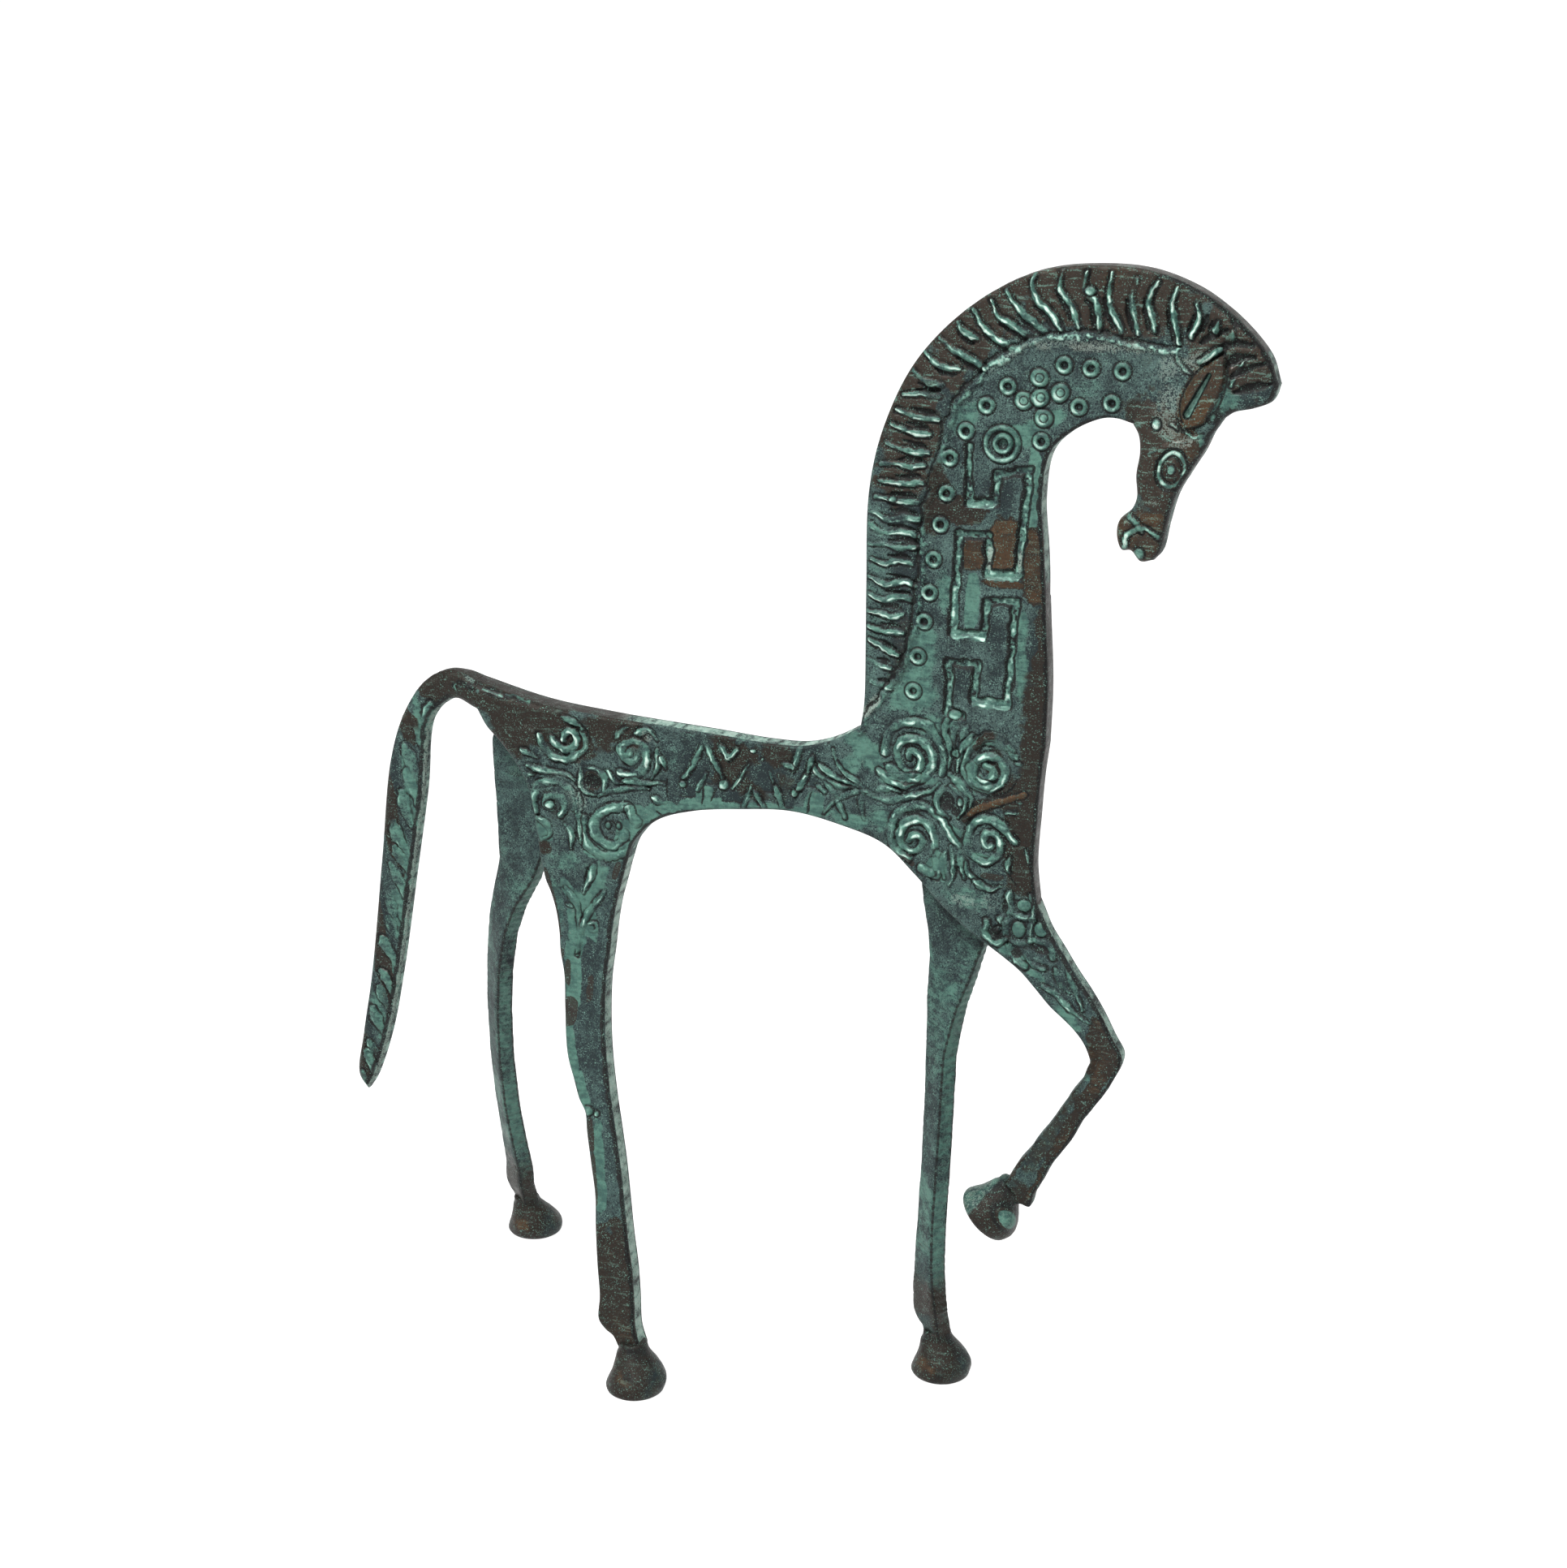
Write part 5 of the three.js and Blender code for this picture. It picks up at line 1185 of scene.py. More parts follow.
class Graph:
    """A short way to write a material's nodes."""

    def __init__(self, tree: bpy.types.NodeTree) -> None:
        """Starts the graph with the object's own coordinates.

        Args:
            tree: The material's node tree.
        """
        self.tree = tree
        self.place = tree.nodes.new("ShaderNodeTexCoord").outputs["Object"]

    def _feed(self, socket: bpy.types.NodeSocket, value: object) -> None:
        """Links an output to a socket, or sets the socket's own value."""
        if isinstance(value, bpy.types.NodeSocket):
            self.tree.links.new(value, socket)
        elif isinstance(value, tuple):
            socket.default_value = (*value, 1.0)
        else:
            socket.default_value = float(value)

    def attribute(self, name: str) -> bpy.types.NodeSocket:
        """A value stored on the mesh's points."""
        node = self.tree.nodes.new("ShaderNodeAttribute")
        node.attribute_name = name
        return node.outputs["Fac"]

    def noise(
        self, scale: float, detail: float, roughness: float,
        stretch: tuple[float, float, float] | None = None, turn: float = 0.0,
    ) -> bpy.types.NodeSocket:
        """Noise in the object's own coordinates.

        Args:
            scale: Cells in each metre.
            detail: Octaves of finer noise.
            roughness: The strength that each octave keeps.
            stretch: How much each axis is squeezed, or None.
            turn: The turn about the sideways axis in radians.

        Returns:
            The noise's value.
        """
        node = self.tree.nodes.new("ShaderNodeTexNoise")
        node.inputs["Scale"].default_value = scale
        node.inputs["Detail"].default_value = detail
        node.inputs["Roughness"].default_value = roughness
        place = self.place
        if stretch is not None:
            mapping = self.tree.nodes.new("ShaderNodeMapping")
            mapping.inputs["Scale"].default_value = stretch
            mapping.inputs["Rotation"].default_value = (0.0, turn, 0.0)
            self.tree.links.new(place, mapping.inputs["Vector"])
            place = mapping.outputs["Vector"]
        self.tree.links.new(place, node.inputs["Vector"])
        return node.outputs["Fac"]

    def _math(self, operation: str, a: object, b: object) -> bpy.types.NodeSocket:
        """One sum or product of two values."""
        node = self.tree.nodes.new("ShaderNodeMath")
        node.operation = operation
        self._feed(node.inputs[0], a)
        self._feed(node.inputs[1], b)
        return node.outputs[0]

    def scaled(self, value: bpy.types.NodeSocket, factor: float) -> bpy.types.NodeSocket:
        """A value times a plain number."""
        return self._math("MULTIPLY", value, factor)

    def sum(self, *values: object) -> bpy.types.NodeSocket:
        """All the values added up."""
        total = values[0]
        for value in values[1:]:
            total = self._math("ADD", total, value)
        return total

    def weigh(self, *shares: tuple[bpy.types.NodeSocket, float], plus: float = 0.0) -> bpy.types.NodeSocket:
        """The values added up, each times its own number, and a plain number."""
        total = self.sum(*(self.scaled(value, factor) for value, factor in shares))
        return self._math("ADD", total, plus) if plus else total

    def product(self, *values: object) -> bpy.types.NodeSocket:
        """All the values multiplied."""
        total = values[0]
        for value in values[1:]:
            total = self._math("MULTIPLY", total, value)
        return total

    def step(self, value: bpy.types.NodeSocket, low: float, high: float) -> bpy.types.NodeSocket:
        """A smooth step from low to high."""
        node = self.tree.nodes.new("ShaderNodeMapRange")
        node.interpolation_type = "SMOOTHSTEP"
        self._feed(node.inputs["Value"], value)
        node.inputs["From Min"].default_value = low
        node.inputs["From Max"].default_value = high
        return node.outputs["Result"]

    def mix(self, share: object, first: object, second: object) -> bpy.types.NodeSocket:
        """A blend of two colours.

        Args:
            share: How much of the second colour there is.
            first: The colour at 0.
            second: The colour at 1.

        Returns:
            The blended colour.
        """
        node = self.tree.nodes.new("ShaderNodeMix")
        node.data_type = "RGBA"
        self._feed(node.inputs["Factor"], share)
        self._feed(node.inputs[6], first)
        self._feed(node.inputs[7], second)
        return node.outputs[2]

    def finish(
        self, colour: bpy.types.NodeSocket, roughness: bpy.types.NodeSocket, metal: bpy.types.NodeSocket,
        height: bpy.types.NodeSocket, grain: float,
    ) -> None:
        """Joins everything to the surface.

        Args:
            colour: The surface colour.
            roughness: How matt it is.
            metal: How metallic it is.
            height: The fine relief.
            grain: The strength of the fine relief.
        """
        bump = self.tree.nodes.new("ShaderNodeBump")
        bump.inputs["Strength"].default_value = grain
        bump.inputs["Distance"].default_value = 0.3 * MM
        self.tree.links.new(height, bump.inputs["Height"])
        shader = self.tree.nodes.new("ShaderNodeBsdfPrincipled")
        shader.inputs["Specular IOR Level"].default_value = 0.24
        self.tree.links.new(colour, shader.inputs["Base Color"])
        self.tree.links.new(roughness, shader.inputs["Roughness"])
        self.tree.links.new(metal, shader.inputs["Metallic"])
        self.tree.links.new(bump.outputs["Normal"], shader.inputs["Normal"])
        output = self.tree.nodes.new("ShaderNodeOutputMaterial")
        self.tree.links.new(shader.outputs["BSDF"], output.inputs["Surface"])


def mesh_object(
    name: str, points: np.ndarray, corners: np.ndarray, sizes: np.ndarray, tints: dict[str, np.ndarray],
    finish: bpy.types.Material, creases: np.ndarray | None = None,
) -> bpy.types.Object:
    """A mesh object from arrays.

    Args:
        name: The object's name.
        points: Drawing places with their depth, as rows of x, y and z in millimetres.
        corners: The point of each face corner, face after face.
        sizes: The number of corners of each face.
        tints: Values for each point, by name.
        finish: The material.
        creases: True for each point on a rim that stays sharp, or None.

    Returns:
        The new object, linked to the scene.
    """
    mesh = bpy.data.meshes.new(name)
    mesh.vertices.add(len(points))
    shifted = (points + (DRAWING_SHIFT, 0.0, 0.0)) * MM
    mesh.vertices.foreach_set("co", shifted.astype(np.float32).ravel())
    mesh.loops.add(len(corners))
    mesh.loops.foreach_set("vertex_index", corners.astype(np.int32))
    mesh.polygons.add(len(sizes))
    starts = np.concatenate([[0], np.cumsum(sizes)[:-1]])
    mesh.polygons.foreach_set("loop_start", starts.astype(np.int32))
    mesh.polygons.foreach_set("use_smooth", np.ones(len(sizes), bool))
    mesh.update(calc_edges=True)
    mesh.validate()
    for key in TINT_NAMES:
        layer = mesh.attributes.new(key, "FLOAT", "POINT")
        layer.data.foreach_set("value", np.asarray(tints.get(key, np.zeros(len(points))), np.float32))
    if creases is not None:
        ends = np.empty(len(mesh.edges) * 2, np.int32)
        mesh.edges.foreach_get("vertices", ends)
        ends = ends.reshape(-1, 2)
        sharp = mesh.attributes.new("sharp_edge", "BOOLEAN", "EDGE")
        sharp.data.foreach_set("value", creases[ends].all(1))
    mesh.materials.append(finish)
    made = bpy.data.objects.new(name, mesh)
    bpy.context.scene.collection.objects.link(made)
    return made


def settle(piece: bpy.types.Object, node: str, slot: str) -> None:
    """Puts a finished piece in the place of its solid.

    Args:
        piece: The finished piece.
        node: The solid's node that it stands for.
        slot: The record's material slot; not used.
    """
    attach(piece, BODY)
    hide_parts(node)
    log.info("%s: %d faces for %s", piece.name, len(piece.data.polygons), node)


def tube_faces(rings: int, around: int, inward: bool = False) -> tuple[np.ndarray, np.ndarray]:
    """The faces of stacked rings that a middle point closes at each end.

    Args:
        rings: The number of rings.
        around: The number of points of each ring.
        inward: True where the rings run the other way round.

    Returns:
        The point of each face corner, and the number of corners of each face.
    """
    ring = np.arange(around)
    after = np.roll(ring, -1)
    total = rings * around
    start = around * np.arange(rings - 1)[:, None]
    quads = np.stack([start + ring, start + after, start + around + after, start + around + ring], axis=2)
    quads = quads.reshape(-1, 4)
    caps = np.vstack([
        np.stack([np.full(around, total), after, ring], axis=1),
        np.stack([np.full(around, total + 1), total - around + ring, total - around + after], axis=1),
    ])
    if inward:
        quads, caps = quads[:, [0, 3, 2, 1]], caps[:, [0, 2, 1]]
    corners = np.concatenate([quads.ravel(), caps.ravel()])
    return corners, np.repeat([4, 3], [len(quads), len(caps)])


def past_seam(points: np.ndarray, start: Place, end: Place) -> np.ndarray:
    """How far places lie past a seam, to the right of the way from its start to its end.

    Args:
        points: Places in drawing millimetres.
        start: Where the seam starts.
        end: Where the seam ends.

    Returns:
        One signed distance for each place.
    """
    seam = np.array(end) - start
    square = np.array((seam[1], -seam[0])) / np.hypot(*seam)
    return (points - start) @ square


@dataclass(frozen=True)
class Edge:
    """One run of a section's outline, free or against a neighbour."""

    run: Run
    free: bool = True
    back: bool = False

    def points(self, step: float) -> np.ndarray:
        """The even points of the run in the outline's order."""
        found = run_points(self.run, step)
        return found[::-1] if self.back else found


FREE_RUNS = (
    BACK, BREAST, BELLY, BUTTOCK, THROAT_LINE, FACE, MUZZLE, MANE_OUTER, MANE_FOOT, TAIL_OUTER, TAIL_INNER,
    HIND_FRONT, HIND_REAR, RAISED_REAR, RAISED_FRONT,
)


@dataclass
class Silhouette:
    """The free edge of the whole flat figure, and how its surface lies over its plane."""

    barrel_half: float = 3.0
    neck_half: float = 3.3
    head_half: float = 4.3
    tail_half: float = 2.1
    hind_half: float = 2.9
    raised_half: float = 2.5
    rump: Place = (-72.0, 168.0)
    rump_swell: float = 1.8
    swell_reach: float = 24.0
    leg_top: float = 122.0
    hind_spread: float = 33.5
    raised_spread: float = 10.0
    near: Nearness = field(init=False)

    def __post_init__(self) -> None:
        """Samples the free edge."""
        self.near = Nearness(run_points(run, 0.25) for run in FREE_RUNS)

    def half(self, points: np.ndarray) -> np.ndarray:
        """Half the thickness before any ornament.

        Args:
            points: Places in drawing millimetres.

        Returns:
            One half thickness for each place.
        """
        x, z = points.T
        away = (x - self.rump[0]) ** 2 + (z - self.rump[1]) ** 2
        half = self.barrel_half + self.rump_swell * np.exp(-away / self.swell_reach ** 2)
        half += (self.neck_half - half) * smooth(z, 162.0, 184.0) * smooth(x, 5.0, 24.0)
        over_seam = past_seam(points, THROAT, POLL)
        half += (self.head_half - half) * smooth(over_seam, -5.0, 9.0) * smooth(z, 205.0, 215.0)
        tail_share = smooth(-(x + 77.8), 0.0, 12.0) * (z > 40) * (x < -76)
        half += (self.tail_half - half) * tail_share
        hind = smooth(self.leg_top - z, 0.0, 8.0) * (x < -10) * (x > -66)
        half += (self.hind_half - half) * hind
        past = past_seam(points, ELBOW, SHOULDER_POINT)
        half += (self.raised_half - half) * smooth(past, 0.0, 8.0) * (z < 136) * (x > 45)
        return half

    def rounding(self, points: np.ndarray) -> tuple[np.ndarray, np.ndarray]:
        """How far the broken arris reaches in and how deep it drops.

        Args:
            points: Places in drawing millimetres.

        Returns:
            The reach and the drop for each place.
        """
        x, z = points.T
        head = smooth(past_seam(points, THROAT, POLL), -2.0, 6.0) * (z > 205)
        tail = smooth(-(x + 72.0), 0.0, 14.0) * (z > 40) * (x < -66)
        rump = np.exp(-((x + 74.0) ** 2 + (z - 170.0) ** 2) / 18.0 ** 2) * (z > 150)
        reach = 0.85 + 1.5 * head + 1.0 * tail * (1.0 - rump) + 2.2 * rump
        drop = 0.7 + 1.3 * head + 0.55 * tail * (1.0 - rump) + 1.5 * rump
        return reach, drop

    def bend(self, points: np.ndarray) -> np.ndarray:
        """How far the sheet is bent sideways, down the two near legs.

        Args:
            points: Places in drawing millimetres.

        Returns:
            The sideways shift in millimetres for each place.
        """
        x, z = points.T
        share = np.clip((self.leg_top - z) / self.leg_top, 0.0, None)
        soft = 0.25
        eased = np.where(share < soft, share ** 2 / (2 * soft), share - soft / 2) / (1.0 - soft / 2)
        hind = -self.hind_spread * eased * (x < -10) * (x > -66)
        past = np.clip(past_seam(points, ELBOW, SHOULDER_POINT), 0.0, None) * (z < 136) * (x > 45)
        eased = np.minimum(past / 45.0, 1.0)
        return hind - self.raised_spread * eased ** 1.35


@dataclass(frozen=True)
class Outline:
    """A section's closed outline, anticlockwise, with its free points and its outward ways."""

    points: np.ndarray
    free: np.ndarray
    outward: np.ndarray


@dataclass
class CastFace:
    """One broad face of a section, with its triangles, its rim's point numbers and its tints."""

    points: np.ndarray
    triangles: np.ndarray
    rim: np.ndarray
    tints: dict[str, np.ndarray]


@dataclass
class Section:
    """A flat section of the shared silhouette: sill is the width of its pale strip of painted light along the
    free edges that face the front.
    """

    name: str
    node: str
    slot: str
    edges: tuple[Edge, ...]
    spacing: float = 0.3
    far_spacing: float = 0.46
    wall_rows: int = 9
    sill: float = 0.0

    def build(self, form: Silhouette, finish: bpy.types.Material) -> bpy.types.Object:
        """Makes the section's mesh and puts it in place.

        Args:
            form: The silhouette that all sections share.
            finish: The material.

        Returns:
            The finished piece.
        """
        outline = self._outline()
        near = self._face(outline, form, Side.NEAR, self.spacing)
        far = self._face(outline, form, Side.FAR, self.far_spacing)
        return self._join(near, far, outline, finish)

    def _outline(self) -> Outline:
        """The closed outline through all the edges."""
        runs = [edge.points(self.spacing)[:-1] for edge in self.edges]
        loop = np.vstack(runs)
        free = np.repeat([edge.free for edge in self.edges], [len(run) for run in runs])
        along = np.roll(loop, -1, axis=0) - np.roll(loop, 1, axis=0)
        along /= np.maximum(np.linalg.norm(along, axis=1, keepdims=True), 1e-9)
        return Outline(loop, free, np.stack([along[:, 1], -along[:, 0]], axis=1))

    @staticmethod
    def _triangles(
        outline: Outline, form: Silhouette, step: float
    ) -> tuple[np.ndarray, np.ndarray, np.ndarray]:
        """Fills the outline with small even triangles, finer at the free edges.

        Args:
            outline: The section's outline.
            form: The shared silhouette.
            step: The wanted side of a triangle in millimetres.

        Returns:
            The points, the faces' point numbers, and the outline's point numbers in order.
        """
        loop = outline.points
        low, high = loop.min(0), loop.max(0)
        columns = np.arange(low[0], high[0], step)
        levels = np.arange(low[1], high[1], step * math.sqrt(3) / 2)
        across, up = np.meshgrid(columns, levels)
        across[1::2] += step / 2
        grid = np.stack([across.ravel(), up.ravel()], axis=1)
        grid = grid[inside(grid, loop)]
        near_loop = Nearness([np.vstack([loop, loop[:1]])])
        grid = grid[near_loop.of(grid) > 0.55 * step]
        edge_gap = form.near.of(grid)
        grid = grid[edge_gap > form.rounding(grid)[0] + 0.3 * step]
        loop_reach, _ = form.rounding(loop)
        rings = []
        for share in (0.1, 0.28, 0.5, 0.75, 1.0):
            depth = loop_reach * share
            ring = loop - outline.outward * depth[:, None]
            keep = outline.free & inside(ring, loop)
            ring, depth = ring[keep], depth[keep]
            rings.append(ring[near_loop.of(ring) > np.maximum(0.93 * depth, 0.1 * step)])
        places = [Vector(p) for p in np.vstack([loop, grid] + rings)]
        count = len(loop)
        borders = [(i, (i + 1) % count) for i in range(count)]
        found = delaunay_2d_cdt(places, borders, [], 1, 1e-5, True)
        flat = np.array([tuple(p) for p in found[0]])
        faces = np.array([face for face in found[2] if len(face) == 3])
        faces = faces[inside(flat[faces].mean(1), loop)]
        rim = np.full(count, -1)
        for new, olds in enumerate(found[3]):
            for old in olds:
                if old < count:
                    rim[old] = new
        return flat, faces, rim

    def _face(self, outline: Outline, form: Silhouette, side: Side, step: float) -> CastFace:
        """One broad face with its ornament.

        Args:
            outline: The section's outline.
            form: The silhouette that all sections share.
            side: Which face it is.
            step: The wanted side of a triangle in millimetres.

        Returns:
            The face in space.
        """
        flat, triangles, rim = self._triangles(outline, form, step)
        edge_gap = form.near.of(flat)
        reach, drop = form.rounding(flat)
        inward = 1.0 - np.clip(edge_gap / reach, 0.0, 1.0)
        half = form.half(flat) - drop * (1.0 - np.sqrt(1.0 - inward ** 2))
        bend = form.bend(flat)
        fade = smooth(edge_gap, 0.1, 1.3)
        seed = 3 if side is Side.NEAR else 71
        marks = RELIEF.at(flat, seed)
        cast = 0.13 * rough(flat, 5.0, 3, seed + 7) + 0.07 * rough(flat, 1.6, 2, seed + 9)
        pits = 0.16 * smooth(rough(flat, 1.1, 2, seed + 13), 0.34, 0.6)
        calm = 1.0 - 0.6 * np.clip(marks.tints[Tint.FRESH], 0.0, 1.0)
        level = half + marks.height * fade + (cast - pits) * calm * smooth(edge_gap, 0.0, 0.8)
        points = np.stack([flat[:, 0], bend + side.value * level, flat[:, 1]], axis=1)
        arris = np.exp(-((edge_gap - self.sill - 0.35 - 0.3 * lattice(flat, 1.3, seed + 31)) / 0.42) ** 2)
        # The pale strip set along the free edges that face the front is painted light, with a painted
        # highlight on it.
        lit = smooth(self._facing(flat, edge_gap, outline), 0.1, 0.5)
        lit_strip = lit * (1.0 - smooth(edge_gap, self.sill - 0.3, self.sill)) * (self.sill > 0)
        tints = {tint.value: values for tint, values in marks.tints.items()}
        tints["pale"] = np.maximum(tints["pale"], 0.8 * lit_strip)
        tints["brown"] = tints["brown"] * (1.0 - lit_strip)
        tints["crest"] = np.clip(marks.crest * fade * (1.0 - lit_strip) + 0.4 * lit_strip, 0.0, 1.3)
        # The dark line along the arris is stronger where the edge faces the front, and the pale rub shows
        # only where it does not; pits and outlines add dark patina and painted shade to the groove tint.
        wear_and_highlight = 0.4 * rough(flat, 3.0, 3, seed + 21) + 0.3 + 0.9 * lit
        tints["groove"] = np.clip(marks.groove * fade + pits * 2.2 * calm + arris * wear_and_highlight, 0.0, 1.0)
        tints["rub"] = np.clip(arris * (0.3 - wear_and_highlight), 0.0, 1.0)
        return CastFace(points, triangles, rim, tints)

    @staticmethod
    def _facing(flat: np.ndarray, edge_gap: np.ndarray, outline: Outline) -> np.ndarray:
        """How much the nearest outline faces the front of the horse, for places by the edge.

        Args:
            flat: Places in drawing millimetres.
            edge_gap: The distance of each place from the free edge.
            outline: The section's outline.

        Returns:
            One value from -1 to 1 for each place, 0 away from the edge.
        """
        tree = tree_of(outline.points)
        facing = np.zeros(len(flat))
        for i in np.flatnonzero(edge_gap < 1.8):
            facing[i] = outline.outward[tree.find((flat[i, 0], flat[i, 1], 0.0))[1], 0]
        return facing

    def _join(
        self, near: CastFace, far: CastFace, outline: Outline, finish: bpy.types.Material
    ) -> bpy.types.Object:
        """Closes the two faces with a wall and makes the piece.

        Args:
            near: The near face.
            far: The far face.
            outline: The section's outline.
            finish: The material.

        Returns:
            The finished piece.
        """
        wall, wall_tints = self._wall(near.points[near.rim], far.points[far.rim], outline)
        seams = ~outline.free
        points = np.vstack([near.points, far.points, wall])
        tints = {
            key: np.concatenate([values, far.tints[key], wall_tints.get(key, np.zeros(len(wall)))])
            for key, values in near.tints.items()
        }
        far_start = len(near.points)
        wall_start = far_start + len(far.points)
        ring = np.arange(len(near.rim))
        between = [wall_start + k * len(ring) + ring for k in range(self.wall_rows - 1)]
        rows = [near.rim] + between + [far.rim + far_start]
        upper, lower = np.array(rows[:-1]), np.array(rows[1:])
        after = np.roll(ring, -1)
        quads = np.stack([upper, lower, lower[:, after], upper[:, after]], axis=2).reshape(-1, 4)
        backs = far.triangles[:, ::-1] + far_start
        corners = np.concatenate([near.triangles.ravel(), backs.ravel(), quads.ravel()])
        sizes = np.repeat([3, 4], [len(near.triangles) + len(backs), len(quads)])
        creases = np.zeros(len(points), bool)
        creases[near.rim[seams]] = True
        creases[far.rim[seams] + far_start] = True
        piece = mesh_object(self.name, points, corners, sizes, tints, finish, creases)
        settle(piece, self.node, self.slot)
        return piece

    def _wall(
        self, near: np.ndarray, far: np.ndarray, outline: Outline
    ) -> tuple[np.ndarray, dict[str, np.ndarray]]:
        """The rows of the wall between the two faces, with file marks.

        Args:
            near: The near face's outline in space.
            far: The far face's outline in space.
            outline: The section's outline.

        Returns:
            The wall's points and tints, row by row.
        """
        steps = np.linalg.norm(np.diff(near[:, [0, 2]], axis=0, prepend=near[-1:, [0, 2]]), axis=1)
        along = np.cumsum(steps)
        outward = outline.outward
        points = []
        for k in range(1, self.wall_rows):
            share = k / self.wall_rows
            row = near + (far - near) * share
            sample = np.stack([along, row[:, 1] * 0.6], axis=1)
            belly = 0.1 * math.sin(math.pi * share)
            dents = 0.11 * rough(sample, 3.2, 3, 31) + 0.07 * rough(sample, 1.0, 2, 37)
            out = (belly + dents) * outline.free
            row[:, [0, 2]] += outward * out[:, None]
            points.append(row)
        wall = np.vstack(points)
        rows = self.wall_rows - 1
        sample = np.stack([np.tile(along, rows), wall[:, 1]], axis=1)
        scratch = rough(sample * (1.0, 0.35), 1.4, 3, 41)
        brown, pale = edge_tints(wall[:, [0, 2]], np.tile(outward, (rows, 1)))
        tints = {
            "brown": np.clip(brown * (1.0 - pale) + 0.2 * scratch, 0.0, 1.0),
            "fresh": np.clip(0.35 + 0.5 * scratch + 0.4 * pale, 0.0, 1.0),
            "pale": np.clip(0.75 * pale + 0.4 * scratch, 0.0, 1.0),
            # A painted sheen on the walls, stronger on the file marks and the pale parts, less on the brown.
            "crest": np.clip(0.25 + 0.6 * scratch + 0.35 * pale, 0.0, 0.8) * (1.0 - brown * (1.0 - pale)),
            "groove": np.clip(0.9 * smooth(-scratch, 0.25, 0.7), 0.0, 1.0) * 0.7,
        }
        return wall, tints


def edge_tints(place: np.ndarray, outward: np.ndarray) -> tuple[np.ndarray, np.ndarray]:
    """Where the ground edges are brown, and where they are pale green: pale patina, with painted light on the
    walls that face the front or up.

    Args:
        place: Drawing places on an edge.
        outward: The outward way there.

    Returns:
        The share of brown and the share of pale green at each place.
    """
    x, z = place.T
    top = outward[:, 1]
    rump = (1.0 - smooth(x, -38.0, -24.0)) * (top > 0.2) * (z > 150) * (x < 20)
    breast = (x > 60) * (z > 128) * (1.0 - smooth(z, 204.0, 214.0))
    mane = smooth(z, 228.0, 244.0) * (top > -0.4) * 0.9 + (x > 80) * (z > 205) * 0.5
    knee = (z < 128) * (x > 62) * 0.35
    low = (z < 42) * 0.5
    brown = np.clip(rump + breast + mane + knee + low, 0.0, 1.0)
    # Walls that face the front, and the upward-facing walls of the back, are made pale: painted light over
    # pale patina.
    front = smooth(outward[:, 0], 0.1, 0.5)
    back = smooth(x, -42.0, -34.0) * (x < 24) * (z > 150) * (z < 172) * (top > 0.3)
    throat = (x > 60) * smooth(z, 206.0, 214.0) * (z < 250) * (x < 90) * 0.9
    hind = (x > -56) * (x < -10) * (z < 130) * front
    tail = (x < -84) * (z < 168) * front * 0.6
    raised = (x > 62) * (z < 131) * front * (0.3 + 0.6 * smooth(z, 96.0, 101.0))
    brow = (x > 90) * (z > 205) * (z < 250) * front * 0.3
    tip = (x > 112) * (z > 252) * (z < 263) * 0.8
    return brown, np.clip(0.85 * back + throat + hind + tail + raised + brow + tip, 0.0, 1.0)


@dataclass
class FlatHorse:
    """The flat-cast body: barrel, neck, mane, head, tail and the two near legs."""

    spacing: float = 0.3
    head_spacing: float = 0.25
    form: Silhouette = field(default_factory=Silhouette)

    def sections(self) -> list[Section]:
        """The sections with their outlines, anticlockwise from the near side."""
        flip = {"free": False, "back": True}
        barrel = (
            Edge(BACK, back=True), Edge((TAIL_TOP, TAIL_UNDER), free=False), Edge(BUTTOCK, back=True),
            Edge((CROTCH, STIFLE), free=False), Edge(BELLY, back=True),
            Edge((ELBOW, SHOULDER_POINT), free=False), Edge(BREAST, back=True),
            Edge((CHEST, WITHERS), free=False),
        )
        neck = (
            Edge(CREST, **flip), Edge((WITHERS, CHEST), free=False), Edge(THROAT_LINE, back=True),
            Edge((THROAT, POLL), free=False),
        )
        mane = (
            Edge(MANE_OUTER, back=True), Edge(CREST, free=False), Edge(EAR_BACK, free=False),
            Edge(EAR_FRONT, free=False), Edge(MANE_FOOT, back=True),
        )
        head = (
            Edge(EAR_BACK, **flip), Edge((THROAT, POLL), **flip), Edge(MUZZLE, back=True),
            Edge(FACE, back=True), Edge(EAR_FRONT, **flip),
        )
        tail = (Edge(TAIL_INNER), Edge((TAIL_UNDER, TAIL_TOP), free=False), Edge(TAIL_OUTER))
        hind = (
            Edge((STIFLE, CROTCH), free=False), Edge(HIND_REAR, back=True),
            Edge((HIND_REAR[0], HIND_FRONT[-1])), Edge(HIND_FRONT, back=True),
        )
        raised = (
            Edge((SHOULDER_POINT, ELBOW), free=False), Edge(RAISED_REAR),
            Edge((RAISED_REAR[-1], RAISED_FRONT[0])), Edge(RAISED_FRONT),
        )
        return [
            Section("barrel_cast", "barrel", "body_patina", barrel, self.spacing),
            Section("neck_cast", "neck", "body_patina", neck, self.spacing),
            Section("mane_cast", "mane", "crest_patina", mane, self.spacing),
            Section("head_cast", "head", "crest_patina", head, self.head_spacing),
            Section("tail_cast", "tail", "body_patina", tail, self.spacing, sill=0.8),
            Section("near_hind_leg_cast", "near_hind_leg", "leg_patina", hind, self.spacing),
            Section("near_fore_leg_cast", "near_fore_leg", "leg_patina", raised, self.spacing),
        ]

    def build(self, finishes: dict[str, bpy.types.Material]) -> None:
        """Builds every section.

        Args:
            finishes: The materials by slot.
        """
        for section in self.sections():
            section.build(self.form, finishes[section.slot])


